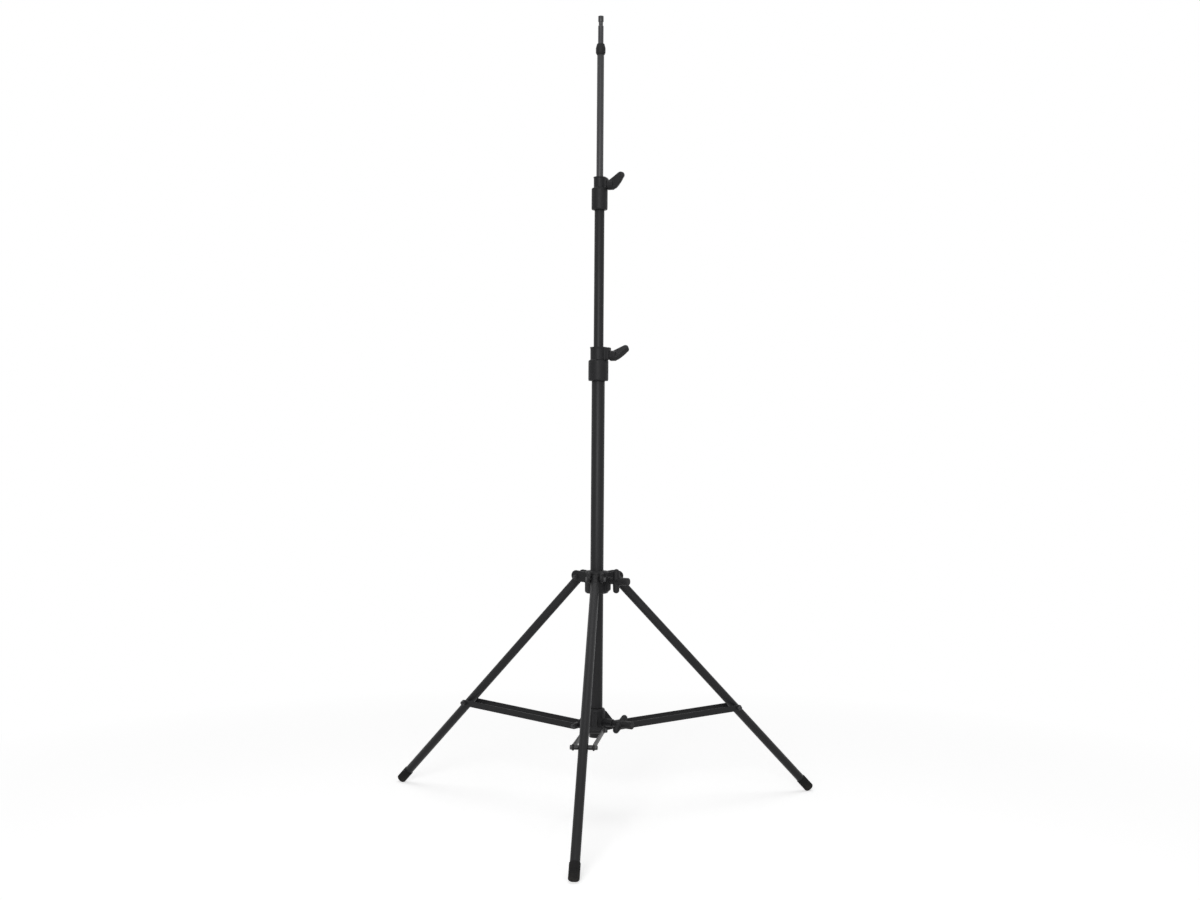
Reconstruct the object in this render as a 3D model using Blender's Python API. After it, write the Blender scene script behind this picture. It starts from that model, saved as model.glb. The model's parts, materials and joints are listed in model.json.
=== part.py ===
"""Baby stand: a three-section light stand on three double-braced folding legs.

Units are metres, +Z is up. The column's axis is the local origin of every height and radius below; the whole
stand is then shifted so that the point on the floor midway between its outermost feet is the world's origin.
Legs and braces are modelled opened out, the risers raised, as the stand is used.
"""
import math

import bmesh
import bpy
from mathutils import Matrix, Vector

# Gaps: between two pieces that touch, and between two pieces that slide or turn on each other
FIT = 0.0003
RUN = 0.0004

# Facets round a tube, a rod and a small bolt
TUBE_SIDES = 24
ROD_SIDES = 14
BOLT_SIDES = 12

# Column tube
BASE_RADIUS = 0.0190
BASE_WALL = 0.0020
BASE_BOTTOM = 0.2215
BASE_LENGTH = 1.0800

# Mid riser tube
MID_RADIUS = 0.01425
MID_WALL = 0.0016
MID_BOTTOM = 0.6655
MID_LENGTH = 1.1340

# Top riser tube and the 16 mm pin on it
TOP_RADIUS = 0.0100
TOP_WALL = 0.0015
TOP_BOTTOM = 1.0565
TOP_LENGTH = 1.1317
PIN_RADIUS = 0.0079
PIN_LENGTH = 0.0800
PIN_HEAD_LENGTH = 0.0160
PIN_WAIST_RADIUS = 0.0062
PIN_WAIST_LENGTH = 0.0130
PIN_CHAMFER = 0.0008
SHOULDER_RADIUS = 0.0140
SHOULDER_SEAT_RADIUS = 0.0106
SHOULDER_FLARE = 0.0125
SHOULDER_TAPER = 0.0055
SHOULDER_HEIGHT = 0.0315
SHOULDER_FOOT_RADIUS = 0.0115
SPIGOT_LENGTH = 0.0500
ROLL_PIN_RADIUS = 0.0020
ROLL_PIN_DROP = 0.0220

# Collar on the column tube: sleeve, clamp ring, screw boss
BASE_SLEEVE_RADIUS = 0.0290
BASE_SLEEVE_LENGTH = 0.0605
BASE_SEAT = 0.0545
BASE_RING_RADIUS = 0.0235
BASE_RING_LENGTH = 0.0375
BASE_BOSS_REACH = 0.0355
BASE_SCREW_RISE = 0.0115
BASE_LEVER_TURN = -38.0

# Collar on the mid riser tube
MID_SLEEVE_RADIUS = 0.0233
MID_SLEEVE_LENGTH = 0.0635
MID_SEAT = 0.0590
MID_RING_RADIUS = 0.0172
MID_RING_LENGTH = 0.0320
MID_BOSS_REACH = 0.0245
MID_SCREW_RISE = 0.0075
MID_LEVER_TURN = 7.0

# What both collars share
SLEEVE_EDGE = 0.0035
RING_LIP = 0.0012
RING_LIP_LENGTH = 0.0035
BOSS_HALF_WIDTH = 0.0110
BOSS_EDGE = 0.0037
BOSS_BELOW = 0.0115
BUSHING_LENGTH = 0.0450
BUSHING_FLANGE = 0.0015
COLLAR_PIN_RADIUS = 0.0025
COLLAR_PIN_RISE = 0.0300
GUIDE_FLANGE = 0.0120
GUIDE_SPIGOT = 0.0150
GUIDE_WALL = 0.0035
BRAKE_PAD_LENGTH = 0.0030

# Screws: stud, and the bolts of legs and braces
STUD_RADIUS = 0.0040
BOLT_RADIUS = 0.0040
BOLT_HEAD_RADIUS = 0.0068
BOLT_HEAD_LENGTH = 0.0053
NUT_LENGTH = 0.0080
WASHER_RADIUS = 0.0080
WASHER_LENGTH = 0.0014

# Clamping lever: round hub on the screw, wing-shaped arm that leans out and up
SCREW_AZIMUTH = -16.0
LEVER_HUB_RADIUS = 0.0150
LEVER_HUB_LENGTH = 0.0185
LEVER_TIP_OUT = 0.0400
LEVER_TIP_UP = 0.0260
LEVER_TIP_RADIUS = 0.0100
LEVER_THICKNESS = 0.0170
LEVER_HEEL_OUT = 0.0055
LEVER_HEEL_UP = 0.0020
LEVER_EDGE = 0.0015
LEVER_FOOT = 0.0025
LEVER_STUD_INSET = 0.0050
LEVER_GAP = 0.0010

# T-knob
KNOB_AZIMUTH = -30.0
KNOB_BAR_LENGTH = 0.0700
KNOB_BAR_RADIUS = 0.0102
KNOB_TIP_RADIUS = 0.0094
KNOB_NECK_RADIUS = 0.0095
KNOB_CROWN = 0.0420
KNOB_CROWN_RADIUS = 0.0112
KNOB_EDGE = 0.0015
KNOB_GAP = 0.0012
KNOB_STUD_INSET = 0.0040

# Hub that slides on the column tube
HUB_BOTTOM = 0.6340
HUB_TOP = 0.7000
HUB_RADIUS = 0.0345
HUB_LINING = 0.0030
HUB_BORE = BASE_RADIUS + HUB_LINING
HUB_EDGE = 0.0040
HUB_PIVOT_R = 0.0600
HUB_PIVOT_Z = 0.6790
HUB_EAR_RADIUS = 0.0165
HUB_EAR_LIFT = 0.0045
HUB_EAR_THICKNESS = 0.0080
HUB_EAR_DROP = 0.0135
HUB_BOSS_RADIUS = 0.0115
HUB_BOSS_REACH = 0.0460
HUB_KNOB_Z = 0.6725
HUB_KNOB_R = 0.0670
HUB_KNOB_TURN = 0.0

# Casting at the foot of the column
CAST_BOTTOM = 0.2365
CAST_TOP = 0.3030
CAST_RADIUS = 0.0265
CAST_EDGE = 0.0050
CAST_PIVOT_R = 0.0580
CAST_PIVOT_Z = 0.2485
CAST_EYE_RADIUS = 0.0090
CAST_WEB_RADIUS = 0.0081
CAST_WEB_DROP = 0.0105
CAST_WEB_THICKNESS = 0.0140
CAST_BOSS_RADIUS = 0.0115
CAST_BOSS_REACH = 0.0600
CAST_KNOB_Z = 0.2650
CAST_KNOB_R = 0.0840
CAST_KNOB_TURN = -56.0
PLUG_FLANGE = 0.0020
PLUG_SPIGOT = 0.0240
BUFFER_LENGTH = 0.0100

# Legs
LEG_AZIMUTHS = (30.0, 150.0, -90.0)
LEG_SPREAD = 45.24
LEG_RADIUS = 0.0127
LEG_WALL = 0.0015
LEG_TUBE_START = 0.0220
FITTING_SPIGOT = 0.0380
FOOT_WALL = 0.0020
FOOT_RADIUS = LEG_RADIUS + FOOT_WALL
FOOT_LENGTH = 0.0450
FOOT_SOLE = 0.0060
FOOT_EDGE = 0.0015
FOOT_FLAT_DEPTH = 0.0020

# Braces: two flat straps on each side of a leg
BRACE_PIN_ALONG = 0.5710
STRAP_INNER = 0.0250
STRAP_THICKNESS = 0.0030
STRAP_HEIGHT = 0.0180
SLEEVE_PIN_RADIUS = 0.0065

# Colour (linear), metallic and roughness of each finish
FINISHES = {
    "anodised_black": ((0.021, 0.021, 0.022), 0.50, 0.42),
    "anodised_grey": ((0.040, 0.040, 0.042), 0.50, 0.38),
    "cast_black": ((0.014, 0.014, 0.015), 0.00, 0.48),
    "strap_black": ((0.017, 0.017, 0.018), 0.10, 0.45),
    "steel_dark": ((0.034, 0.034, 0.036), 0.60, 0.35),
    "bolt_black": ((0.020, 0.020, 0.021), 0.50, 0.40),
    "moulded_black": ((0.013, 0.013, 0.014), 0.00, 0.50),
    "rubber_black": ((0.012, 0.012, 0.012), 0.00, 0.80),
    "nylon_grey": ((0.200, 0.200, 0.195), 0.00, 0.55),
}

SMOOTH_ANGLE = math.radians(35)
MERGE = 1e-6
PAST = 0.0020


def clear_scene():
    for obj in list(bpy.data.objects):
        bpy.data.objects.remove(obj, do_unlink=True)


def about(azimuth):
    """Turn about Z that takes +X to a compass direction in degrees."""
    return Matrix.Rotation(math.radians(azimuth), 4, "Z")


def about_x(degrees):
    return Matrix.Rotation(math.radians(degrees), 4, "X")


# Takes the +Z axis of a turned shape to +X, and to +Y
ALONG_X = Matrix.Rotation(math.radians(90), 4, "Y")
ALONG_Y = Matrix.Rotation(math.radians(-90), 4, "X")

# Takes a plate's outline (x, z) to (height, across), and its thickness to +X
UP_AND_ACROSS = Matrix(((0, 1, 0, 0), (0, 0, 1, 0), (1, 0, 0, 0), (0, 0, 0, 1)))


def merge_into(bm, made, place):
    """Cleans a piece of geometry and adds it to bm."""
    bmesh.ops.remove_doubles(made, verts=made.verts, dist=MERGE)
    bmesh.ops.recalc_face_normals(made, faces=made.faces)
    made.transform(place)
    mesh = bpy.data.meshes.new("shape")
    made.to_mesh(mesh)
    made.free()
    bm.from_mesh(mesh)
    bpy.data.meshes.remove(mesh)


def add_turned(bm, outline, place=Matrix(), sides=TUBE_SIDES):
    """Closed turned shape about Z, from a closed loop of (radius, height) points."""
    made = bmesh.new()
    verts = [made.verts.new((radius, 0, height)) for radius, height in outline]
    edges = []
    for first, second in zip(verts, verts[1:] + verts[:1]):
        if first.co.x > 0 or second.co.x > 0:
            edges.append(made.edges.new((first, second)))
    bmesh.ops.spin(
        made, geom=verts + edges, axis=(0, 0, 1), cent=(0, 0, 0), angle=math.tau, steps=sides, use_merge=True
    )
    merge_into(bm, made, place)


def add_rod(bm, radius, low, high, place=Matrix(), sides=ROD_SIDES):
    add_turned(bm, [(0, low), (radius, low), (radius, high), (0, high)], place, sides)


def add_plate(bm, outline, low, high, place=Matrix()):
    """Flat outline of (x, z) points, extruded along Y from low to high."""
    made = bmesh.new()
    face = made.faces.new([made.verts.new((x, low, z)) for x, z in outline])
    grown = bmesh.ops.extrude_face_region(made, geom=[face])
    moved = [item for item in grown["geom"] if isinstance(item, bmesh.types.BMVert)]
    bmesh.ops.translate(made, vec=(0, high - low, 0), verts=moved)
    merge_into(bm, made, place)


def arc(centre, radius, start, end, steps):
    """Points on an arc in the (x, z) plane, angles in degrees from +X."""
    points = []
    for step in range(steps + 1):
        angle = math.radians(start + (end - start) * step / steps)
        points.append((centre[0] + radius * math.cos(angle), centre[1] + radius * math.sin(angle)))
    return points


def finish_material(name, finish):
    color, metallic, roughness = FINISHES[finish]
    material = bpy.data.materials.new(name)
    material.use_nodes = True
    shader = material.node_tree.nodes["Principled BSDF"]
    shader.inputs["Base Color"].default_value = (*color, 1)
    shader.inputs["Metallic"].default_value = metallic
    shader.inputs["Roughness"].default_value = roughness
    return material


def place_object(name, bm, parent):
    mesh = bpy.data.meshes.new(name)
    bm.to_mesh(mesh)
    bm.free()
    obj = bpy.data.objects.new(name, mesh)
    obj.parent = parent
    bpy.context.collection.objects.link(obj)
    return obj


def solid(name, bm, finish, parent):
    """A sub-part of the stand."""
    obj = place_object(name, bm, parent)
    obj.data.materials.append(finish_material(name, finish))
    obj.data.shade_smooth()
    obj.data.set_sharp_from_angle(angle=SMOOTH_ANGLE)
    return obj


def combine(obj, bm, operation):
    """Adds or cuts a guide shape that stands in the same frame as the object."""
    guide = place_object(f"{obj.name}_guide_{len(obj.modifiers) + 1}", bm, obj.parent)
    guide.hide_render = True
    guide.display_type = "WIRE"
    modifier = obj.modifiers.new(operation.title(), "BOOLEAN")
    modifier.operation = operation
    modifier.solver = "EXACT"
    modifier.object = guide


def frame_at(name, parent, place=Matrix()):
    """An empty that carries one moving body, with its origin on the joint."""
    empty = bpy.data.objects.new(name, None)
    empty.empty_display_size = 0.03
    empty.parent = parent
    empty.matrix_local = place
    bpy.context.collection.objects.link(empty)
    return empty


def tube(name, radius, wall, bottom, length, finish, parent, cuts=()):
    bm = bmesh.new()
    bore = radius - wall
    top = bottom + length
    add_turned(bm, [(bore, bottom), (radius, bottom), (radius, top), (bore, top)])
    obj = solid(name, bm, finish, parent)
    if cuts:
        holes = bmesh.new()
        for cut_radius, low, high, place in cuts:
            add_rod(holes, cut_radius, low, high, place)
        combine(obj, holes, "DIFFERENCE")
    return obj


def guide_ring(name, runs_in, plugs_into, tube_bottom, parent):
    """Nylon guide under a riser tube: a flange that runs in the outer tube, a spigot up into the riser."""
    flange = runs_in - FIT
    spigot = plugs_into - FIT
    bore = plugs_into - GUIDE_WALL
    under = tube_bottom - FIT
    bm = bmesh.new()
    add_turned(bm, [
        (bore, under - GUIDE_FLANGE), (flange, under - GUIDE_FLANGE), (flange, under), (spigot, under),
        (spigot, under + GUIDE_SPIGOT), (bore, under + GUIDE_SPIGOT),
    ])
    return solid(name, bm, "nylon_grey", parent)


def clamp_collar(prefix, parent, outer, riser, sleeve, ring, boss_reach, screw_rise, finish):
    """Collar at the mouth of a tube, with its bushing, its pin and its brake pad.

    outer is (radius, wall, top) of the tube it sits on, riser the radius of the tube that passes through it,
    sleeve (radius, length, seat) and ring (radius, length). Returns the height of the clamp screw.
    """
    outer_radius, outer_wall, outer_top = outer
    sleeve_radius, sleeve_length, seat = sleeve
    ring_radius, ring_length = ring
    bottom = outer_top - seat
    shelf = bottom + sleeve_length
    top = shelf + ring_length
    seat_bore = outer_radius + FIT
    riser_bore = riser + RUN
    step = outer_top + FIT + BUSHING_FLANGE + FIT
    lip = ring_radius + RING_LIP
    screw_z = shelf + screw_rise
    screw = about(SCREW_AZIMUTH) @ Matrix.Translation((0, 0, screw_z)) @ ALONG_X

    edge = SLEEVE_EDGE / 3
    bm = bmesh.new()
    add_turned(bm, [
        (seat_bore, bottom), (sleeve_radius - SLEEVE_EDGE, bottom), (sleeve_radius - edge, bottom + edge),
        (sleeve_radius, bottom + SLEEVE_EDGE), (sleeve_radius, shelf - SLEEVE_EDGE),
        (sleeve_radius - edge, shelf - edge), (sleeve_radius - SLEEVE_EDGE, shelf),
        (ring_radius, shelf), (ring_radius, top - RING_LIP_LENGTH - RING_LIP),
        (lip, top - RING_LIP_LENGTH), (lip, top - RING_LIP), (ring_radius, top),
        (riser_bore, top), (riser_bore, step), (seat_bore, step),
    ])
    collar = solid(f"{prefix}_collar", bm, finish, parent)
    boss = bmesh.new()
    inside = (riser_bore + ring_radius) / 2
    low = max(screw_z - BOSS_BELOW, step + FIT)
    high = top - RING_LIP_LENGTH / 2
    corner = BOSS_HALF_WIDTH - BOSS_EDGE
    left = [
        (low, -corner), (low + BOSS_EDGE, -BOSS_HALF_WIDTH),
        (high - BOSS_EDGE, -BOSS_HALF_WIDTH), (high, -corner),
    ]
    right = [(height, -across) for height, across in reversed(left)]
    add_plate(boss, left + right, inside, boss_reach, about(SCREW_AZIMUTH) @ UP_AND_ACROSS)
    combine(collar, boss, "UNION")
    holes = bmesh.new()
    stud_bore = STUD_RADIUS + RUN
    add_rod(holes, stud_bore, riser_bore - FIT - BRAKE_PAD_LENGTH / 2, boss_reach + PAST, screw)
    pin_z = bottom + COLLAR_PIN_RISE
    pin_place = Matrix.Translation((0, 0, pin_z)) @ ALONG_Y
    pin_inside = outer_radius - outer_wall + PIN_CHAMFER
    add_rod(holes, COLLAR_PIN_RADIUS + FIT, pin_inside, sleeve_radius + PAST, pin_place, BOLT_SIDES)
    combine(collar, holes, "DIFFERENCE")

    bm = bmesh.new()
    add_rod(bm, COLLAR_PIN_RADIUS, pin_inside, sleeve_radius - FIT, pin_place, BOLT_SIDES)
    solid(f"{prefix}_collar_pin", bm, "bolt_black", parent)

    bm = bmesh.new()
    tube_bore = outer_radius - outer_wall - FIT
    under = outer_top + FIT
    add_turned(bm, [
        (riser_bore, under - BUSHING_LENGTH), (tube_bore, under - BUSHING_LENGTH), (tube_bore, under),
        (outer_radius - PIN_CHAMFER / 2, under), (outer_radius - PIN_CHAMFER / 2, under + BUSHING_FLANGE),
        (riser_bore, under + BUSHING_FLANGE),
    ])
    bushing = solid(f"{prefix}_bushing", bm, "nylon_grey", parent)
    holes = bmesh.new()
    add_rod(holes, COLLAR_PIN_RADIUS + FIT, pin_inside - PAST, sleeve_radius, pin_place, BOLT_SIDES)
    combine(bushing, holes, "DIFFERENCE")

    bm = bmesh.new()
    pad_start = riser + FIT
    add_rod(bm, STUD_RADIUS, pad_start, pad_start + BRAKE_PAD_LENGTH, screw)
    solid(f"{prefix}_brake_pad", bm, "nylon_grey", parent)
    return screw_z


def clamp_lever(prefix, parent, screw_z, riser, boss_reach, turn):
    """Winged lever handle and its stud, about the clamp screw's axis (local X)."""
    place = about(SCREW_AZIMUTH) @ Matrix.Translation((0, 0, screw_z)) @ about_x(turn)
    axis = frame_at(f"{prefix}_lever_axis", parent, place)
    start = boss_reach + LEVER_GAP
    end = start + LEVER_HUB_LENGTH
    stud_end = end - LEVER_STUD_INSET
    tip = (start + LEVER_TIP_OUT, LEVER_TIP_UP)
    edge = LEVER_EDGE

    bm = bmesh.new()
    add_turned(bm, [
        (0, start), (LEVER_HUB_RADIUS - edge, start), (LEVER_HUB_RADIUS, start + edge),
        (LEVER_HUB_RADIUS, end - edge), (LEVER_HUB_RADIUS - edge, end), (0, end),
    ], ALONG_X, ROD_SIDES)
    handle = solid(f"{prefix}_lever_handle", bm, "moulded_black", axis)
    lean = math.degrees(math.atan2(LEVER_TIP_UP, LEVER_TIP_OUT - LEVER_HUB_LENGTH / 2))
    arm = bmesh.new()
    near = start + 2 * edge
    low = -LEVER_HUB_RADIUS + LEVER_FOOT
    heel = (end + LEVER_HEEL_OUT, low + LEVER_HEEL_UP)
    add_plate(arm, [
        (near, low), (end, low), heel, *arc(tip, LEVER_TIP_RADIUS, lean - 90, lean + 90, 8), (near, -low),
    ], -LEVER_THICKNESS / 2, LEVER_THICKNESS / 2)
    combine(handle, arm, "UNION")
    hole = bmesh.new()
    add_rod(hole, STUD_RADIUS + FIT, start - PAST, stud_end, ALONG_X)
    combine(handle, hole, "DIFFERENCE")

    bm = bmesh.new()
    stud_start = riser + FIT + BRAKE_PAD_LENGTH + FIT
    add_rod(bm, STUD_RADIUS, stud_start, stud_end - FIT, ALONG_X)
    solid(f"{prefix}_lever_stud", bm, "bolt_black", axis)


def t_knob(prefix, parent, height, reach, bar_r, column_radius, turn):
    """T-bar on its barrel, and the stud, about the screw's axis (local X)."""
    place = about(KNOB_AZIMUTH) @ Matrix.Translation((0, 0, height)) @ about_x(turn)
    axis = frame_at(f"{prefix}_axis", parent, place)
    start = reach + KNOB_GAP
    half = KNOB_BAR_LENGTH / 2
    bm = bmesh.new()
    tip_low = arc((0, -half + KNOB_TIP_RADIUS), KNOB_TIP_RADIUS, -90, -15, 3)
    tip_high = arc((0, half - KNOB_TIP_RADIUS), KNOB_TIP_RADIUS, 15, 90, 3)
    tip_low[0] = (0, tip_low[0][1])
    tip_high[-1] = (0, tip_high[-1][1])
    add_turned(bm, tip_low + [(KNOB_BAR_RADIUS, 0)] + tip_high, Matrix.Translation((bar_r, 0, 0)), ROD_SIDES)
    bar = solid(f"{prefix}_bar", bm, "moulded_black", axis)
    neck = bmesh.new()
    crown_end = bar_r + KNOB_CROWN
    add_turned(neck, [
        (0, start), (KNOB_NECK_RADIUS - KNOB_EDGE, start), (KNOB_NECK_RADIUS, start + KNOB_EDGE),
        (KNOB_NECK_RADIUS, bar_r), (KNOB_CROWN_RADIUS, bar_r + KNOB_BAR_RADIUS),
        (KNOB_CROWN_RADIUS, crown_end - KNOB_EDGE), (KNOB_CROWN_RADIUS - KNOB_EDGE, crown_end), (0, crown_end),
    ], ALONG_X, ROD_SIDES)
    combine(bar, neck, "UNION")
    hole = bmesh.new()
    stud_end = bar_r - KNOB_STUD_INSET
    add_rod(hole, STUD_RADIUS + FIT, start - PAST, stud_end, ALONG_X)
    combine(bar, hole, "DIFFERENCE")
    bm = bmesh.new()
    add_rod(bm, STUD_RADIUS, column_radius + RUN, stud_end - FIT, ALONG_X)
    solid(f"{prefix}_stud", bm, "bolt_black", axis)


def bolt_outline(inner_head, inner_nut):
    """Through bolt along Z, head below and nut above, from the two faces that it clamps."""
    low = -inner_head - FIT
    high = inner_nut + FIT
    return [
        (0, low - WASHER_LENGTH - BOLT_HEAD_LENGTH), (BOLT_HEAD_RADIUS, low - WASHER_LENGTH - BOLT_HEAD_LENGTH),
        (BOLT_HEAD_RADIUS, low - WASHER_LENGTH), (WASHER_RADIUS, low - WASHER_LENGTH), (WASHER_RADIUS, low),
        (BOLT_RADIUS, low), (BOLT_RADIUS, high), (WASHER_RADIUS, high), (WASHER_RADIUS, high + WASHER_LENGTH),
        (BOLT_HEAD_RADIUS, high + WASHER_LENGTH), (BOLT_HEAD_RADIUS, high + WASHER_LENGTH + NUT_LENGTH),
        (0, high + WASHER_LENGTH + NUT_LENGTH),
    ]


def build_column(root):
    base_top = BASE_BOTTOM + BASE_LENGTH
    pin_place = Matrix.Translation((0, 0, base_top - BASE_SEAT + COLLAR_PIN_RISE)) @ ALONG_Y
    tube("base_tube", BASE_RADIUS, BASE_WALL, BASE_BOTTOM, BASE_LENGTH, "anodised_black", root,
         [(COLLAR_PIN_RADIUS + FIT, BASE_RADIUS - 2 * BASE_WALL, BASE_RADIUS + PAST, pin_place)])
    screw_z = clamp_collar(
        "base", root, (BASE_RADIUS, BASE_WALL, base_top), MID_RADIUS,
        (BASE_SLEEVE_RADIUS, BASE_SLEEVE_LENGTH, BASE_SEAT), (BASE_RING_RADIUS, BASE_RING_LENGTH),
        BASE_BOSS_REACH, BASE_SCREW_RISE, "cast_black",
    )
    clamp_lever("base", root, screw_z, MID_RADIUS, BASE_BOSS_REACH, BASE_LEVER_TURN)

    bore = BASE_RADIUS - BASE_WALL
    bm = bmesh.new()
    under = BASE_BOTTOM - FIT
    edge = PIN_CHAMFER
    add_turned(bm, [
        (0, under - PLUG_FLANGE), (BASE_RADIUS - edge, under - PLUG_FLANGE),
        (BASE_RADIUS, under - PLUG_FLANGE + edge), (BASE_RADIUS, under), (bore - FIT, under),
        (bore - FIT, under + PLUG_SPIGOT), (0, under + PLUG_SPIGOT),
    ])
    solid("column_plug", bm, "moulded_black", root)
    bm = bmesh.new()
    buffer_bottom = under + PLUG_SPIGOT + FIT
    add_rod(bm, bore - FIT, buffer_bottom, buffer_bottom + BUFFER_LENGTH, sides=TUBE_SIDES)
    solid("column_buffer", bm, "rubber_black", root)


def build_lower_casting(root):
    bm = bmesh.new()
    bore = BASE_RADIUS + FIT
    add_turned(bm, [
        (bore, CAST_BOTTOM), (CAST_RADIUS - CAST_EDGE / 2, CAST_BOTTOM), (CAST_RADIUS, CAST_BOTTOM + CAST_EDGE),
        (CAST_RADIUS, CAST_TOP - CAST_EDGE), (CAST_RADIUS - CAST_EDGE / 2, CAST_TOP), (bore, CAST_TOP),
    ])
    casting = solid("lower_casting", bm, "cast_black", root)
    inside = (bore + CAST_RADIUS) / 2
    eye_half = STRAP_INNER - RUN
    lugs = bmesh.new()
    for azimuth in LEG_AZIMUTHS:
        place = about(azimuth)
        web = [(inside, CAST_BOTTOM + FIT), (CAST_RADIUS + CAST_EDGE, CAST_BOTTOM + FIT)]
        web += arc((CAST_PIVOT_R, CAST_PIVOT_Z), CAST_WEB_RADIUS, -90, 60, 6)
        web += [(CAST_RADIUS + CAST_EDGE, CAST_TOP - CAST_WEB_DROP), (inside, CAST_TOP - CAST_EDGE)]
        add_plate(lugs, web, -CAST_WEB_THICKNESS / 2, CAST_WEB_THICKNESS / 2, place)
    combine(casting, lugs, "UNION")
    knob_place = about(KNOB_AZIMUTH) @ Matrix.Translation((0, 0, CAST_KNOB_Z)) @ ALONG_X
    eyes = bmesh.new()
    holes = bmesh.new()
    for azimuth in LEG_AZIMUTHS:
        place = about(azimuth) @ Matrix.Translation((CAST_PIVOT_R, 0, CAST_PIVOT_Z)) @ ALONG_Y
        add_rod(eyes, CAST_EYE_RADIUS, -eye_half, eye_half, place)
        add_rod(holes, BOLT_RADIUS + RUN, -STRAP_INNER - PAST, STRAP_INNER + PAST, place)
    add_rod(eyes, CAST_BOSS_RADIUS, inside, CAST_BOSS_REACH, knob_place)
    add_rod(holes, STUD_RADIUS + RUN, BASE_RADIUS - PAST, CAST_BOSS_REACH + PAST, knob_place)
    combine(casting, eyes, "UNION")
    combine(casting, holes, "DIFFERENCE")
    t_knob("lower_knob", root, CAST_KNOB_Z, CAST_BOSS_REACH, CAST_KNOB_R, BASE_RADIUS, CAST_KNOB_TURN)


def build_hub(root):
    """The hub slides along the column, so its frame stands at the height of the leg pivots."""
    hub = frame_at("hub_frame", root, Matrix.Translation((0, 0, HUB_PIVOT_Z)))
    bottom = HUB_BOTTOM - HUB_PIVOT_Z
    top = HUB_TOP - HUB_PIVOT_Z
    ear_low = LEG_RADIUS + RUN + FIT
    ear_high = ear_low + HUB_EAR_THICKNESS
    inside = (HUB_BORE + HUB_RADIUS) / 2
    bm = bmesh.new()
    add_turned(bm, [
        (HUB_BORE, bottom), (HUB_RADIUS - HUB_EDGE, bottom), (HUB_RADIUS, bottom + HUB_EDGE),
        (HUB_RADIUS, top - HUB_EDGE), (HUB_RADIUS - HUB_EDGE, top), (HUB_BORE, top),
    ])
    casting = solid("hub_casting", bm, "cast_black", hub)
    ears = bmesh.new()
    ear_top = top - FIT
    outline = [(inside, -HUB_EAR_DROP), (HUB_RADIUS, -HUB_EAR_DROP)]
    outline += arc((HUB_PIVOT_R, HUB_EAR_LIFT), HUB_EAR_RADIUS, -85, 85, 10)
    outline += [(HUB_RADIUS, ear_top), (inside, ear_top)]
    for azimuth in LEG_AZIMUTHS:
        add_plate(ears, outline, ear_low, ear_high, about(azimuth))
        add_plate(ears, outline, -ear_high, -ear_low, about(azimuth))
    combine(casting, ears, "UNION")
    boss = bmesh.new()
    knob_place = about(KNOB_AZIMUTH) @ Matrix.Translation((0, 0, HUB_KNOB_Z - HUB_PIVOT_Z)) @ ALONG_X
    add_rod(boss, HUB_BOSS_RADIUS, inside, HUB_BOSS_REACH, knob_place)
    combine(casting, boss, "UNION")
    holes = bmesh.new()
    for azimuth in LEG_AZIMUTHS:
        place = about(azimuth) @ Matrix.Translation((HUB_PIVOT_R, 0, 0)) @ ALONG_Y
        add_rod(holes, BOLT_RADIUS + FIT, -ear_high - PAST, ear_high + PAST, place)
    add_rod(holes, STUD_RADIUS + RUN, HUB_BORE - PAST, HUB_BOSS_REACH + PAST, knob_place)
    combine(casting, holes, "DIFFERENCE")

    bm = bmesh.new()
    lining = HUB_BORE - FIT
    run = BASE_RADIUS + RUN
    add_turned(bm, [
        (run, bottom + FIT), (lining, bottom + FIT), (lining, top - FIT), (run, top - FIT),
    ])
    bushing = solid("hub_bushing", bm, "nylon_grey", hub)
    holes = bmesh.new()
    add_rod(holes, STUD_RADIUS + RUN, BASE_RADIUS - PAST, HUB_BORE + PAST, knob_place)
    combine(bushing, holes, "DIFFERENCE")

    for number, azimuth in enumerate(LEG_AZIMUTHS, 1):
        bm = bmesh.new()
        place = about(azimuth) @ Matrix.Translation((HUB_PIVOT_R, 0, 0)) @ ALONG_Y
        add_turned(bm, bolt_outline(ear_high, ear_high), place, BOLT_SIDES)
        solid(f"hub_pivot_bolt_{number}", bm, "bolt_black", hub)
    t_knob("hub_knob", hub, HUB_KNOB_Z - HUB_PIVOT_Z, HUB_BOSS_REACH, HUB_KNOB_R, BASE_RADIUS, HUB_KNOB_TURN)
    return hub


def leg_length():
    """From the pivot to the sole, so that the sole's lowest edge is cut flat at the floor."""
    spread = math.radians(LEG_SPREAD)
    sole_height = FOOT_RADIUS * math.sin(spread) - FOOT_FLAT_DEPTH
    return (HUB_PIVOT_Z - sole_height) / math.cos(spread)


def brace_ends():
    """Outer end of a brace, on the leg, as (radius, height)."""
    spread = math.radians(LEG_SPREAD)
    radius = HUB_PIVOT_R + BRACE_PIN_ALONG * math.sin(spread)
    height = HUB_PIVOT_Z - BRACE_PIN_ALONG * math.cos(spread)
    return radius, height


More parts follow.
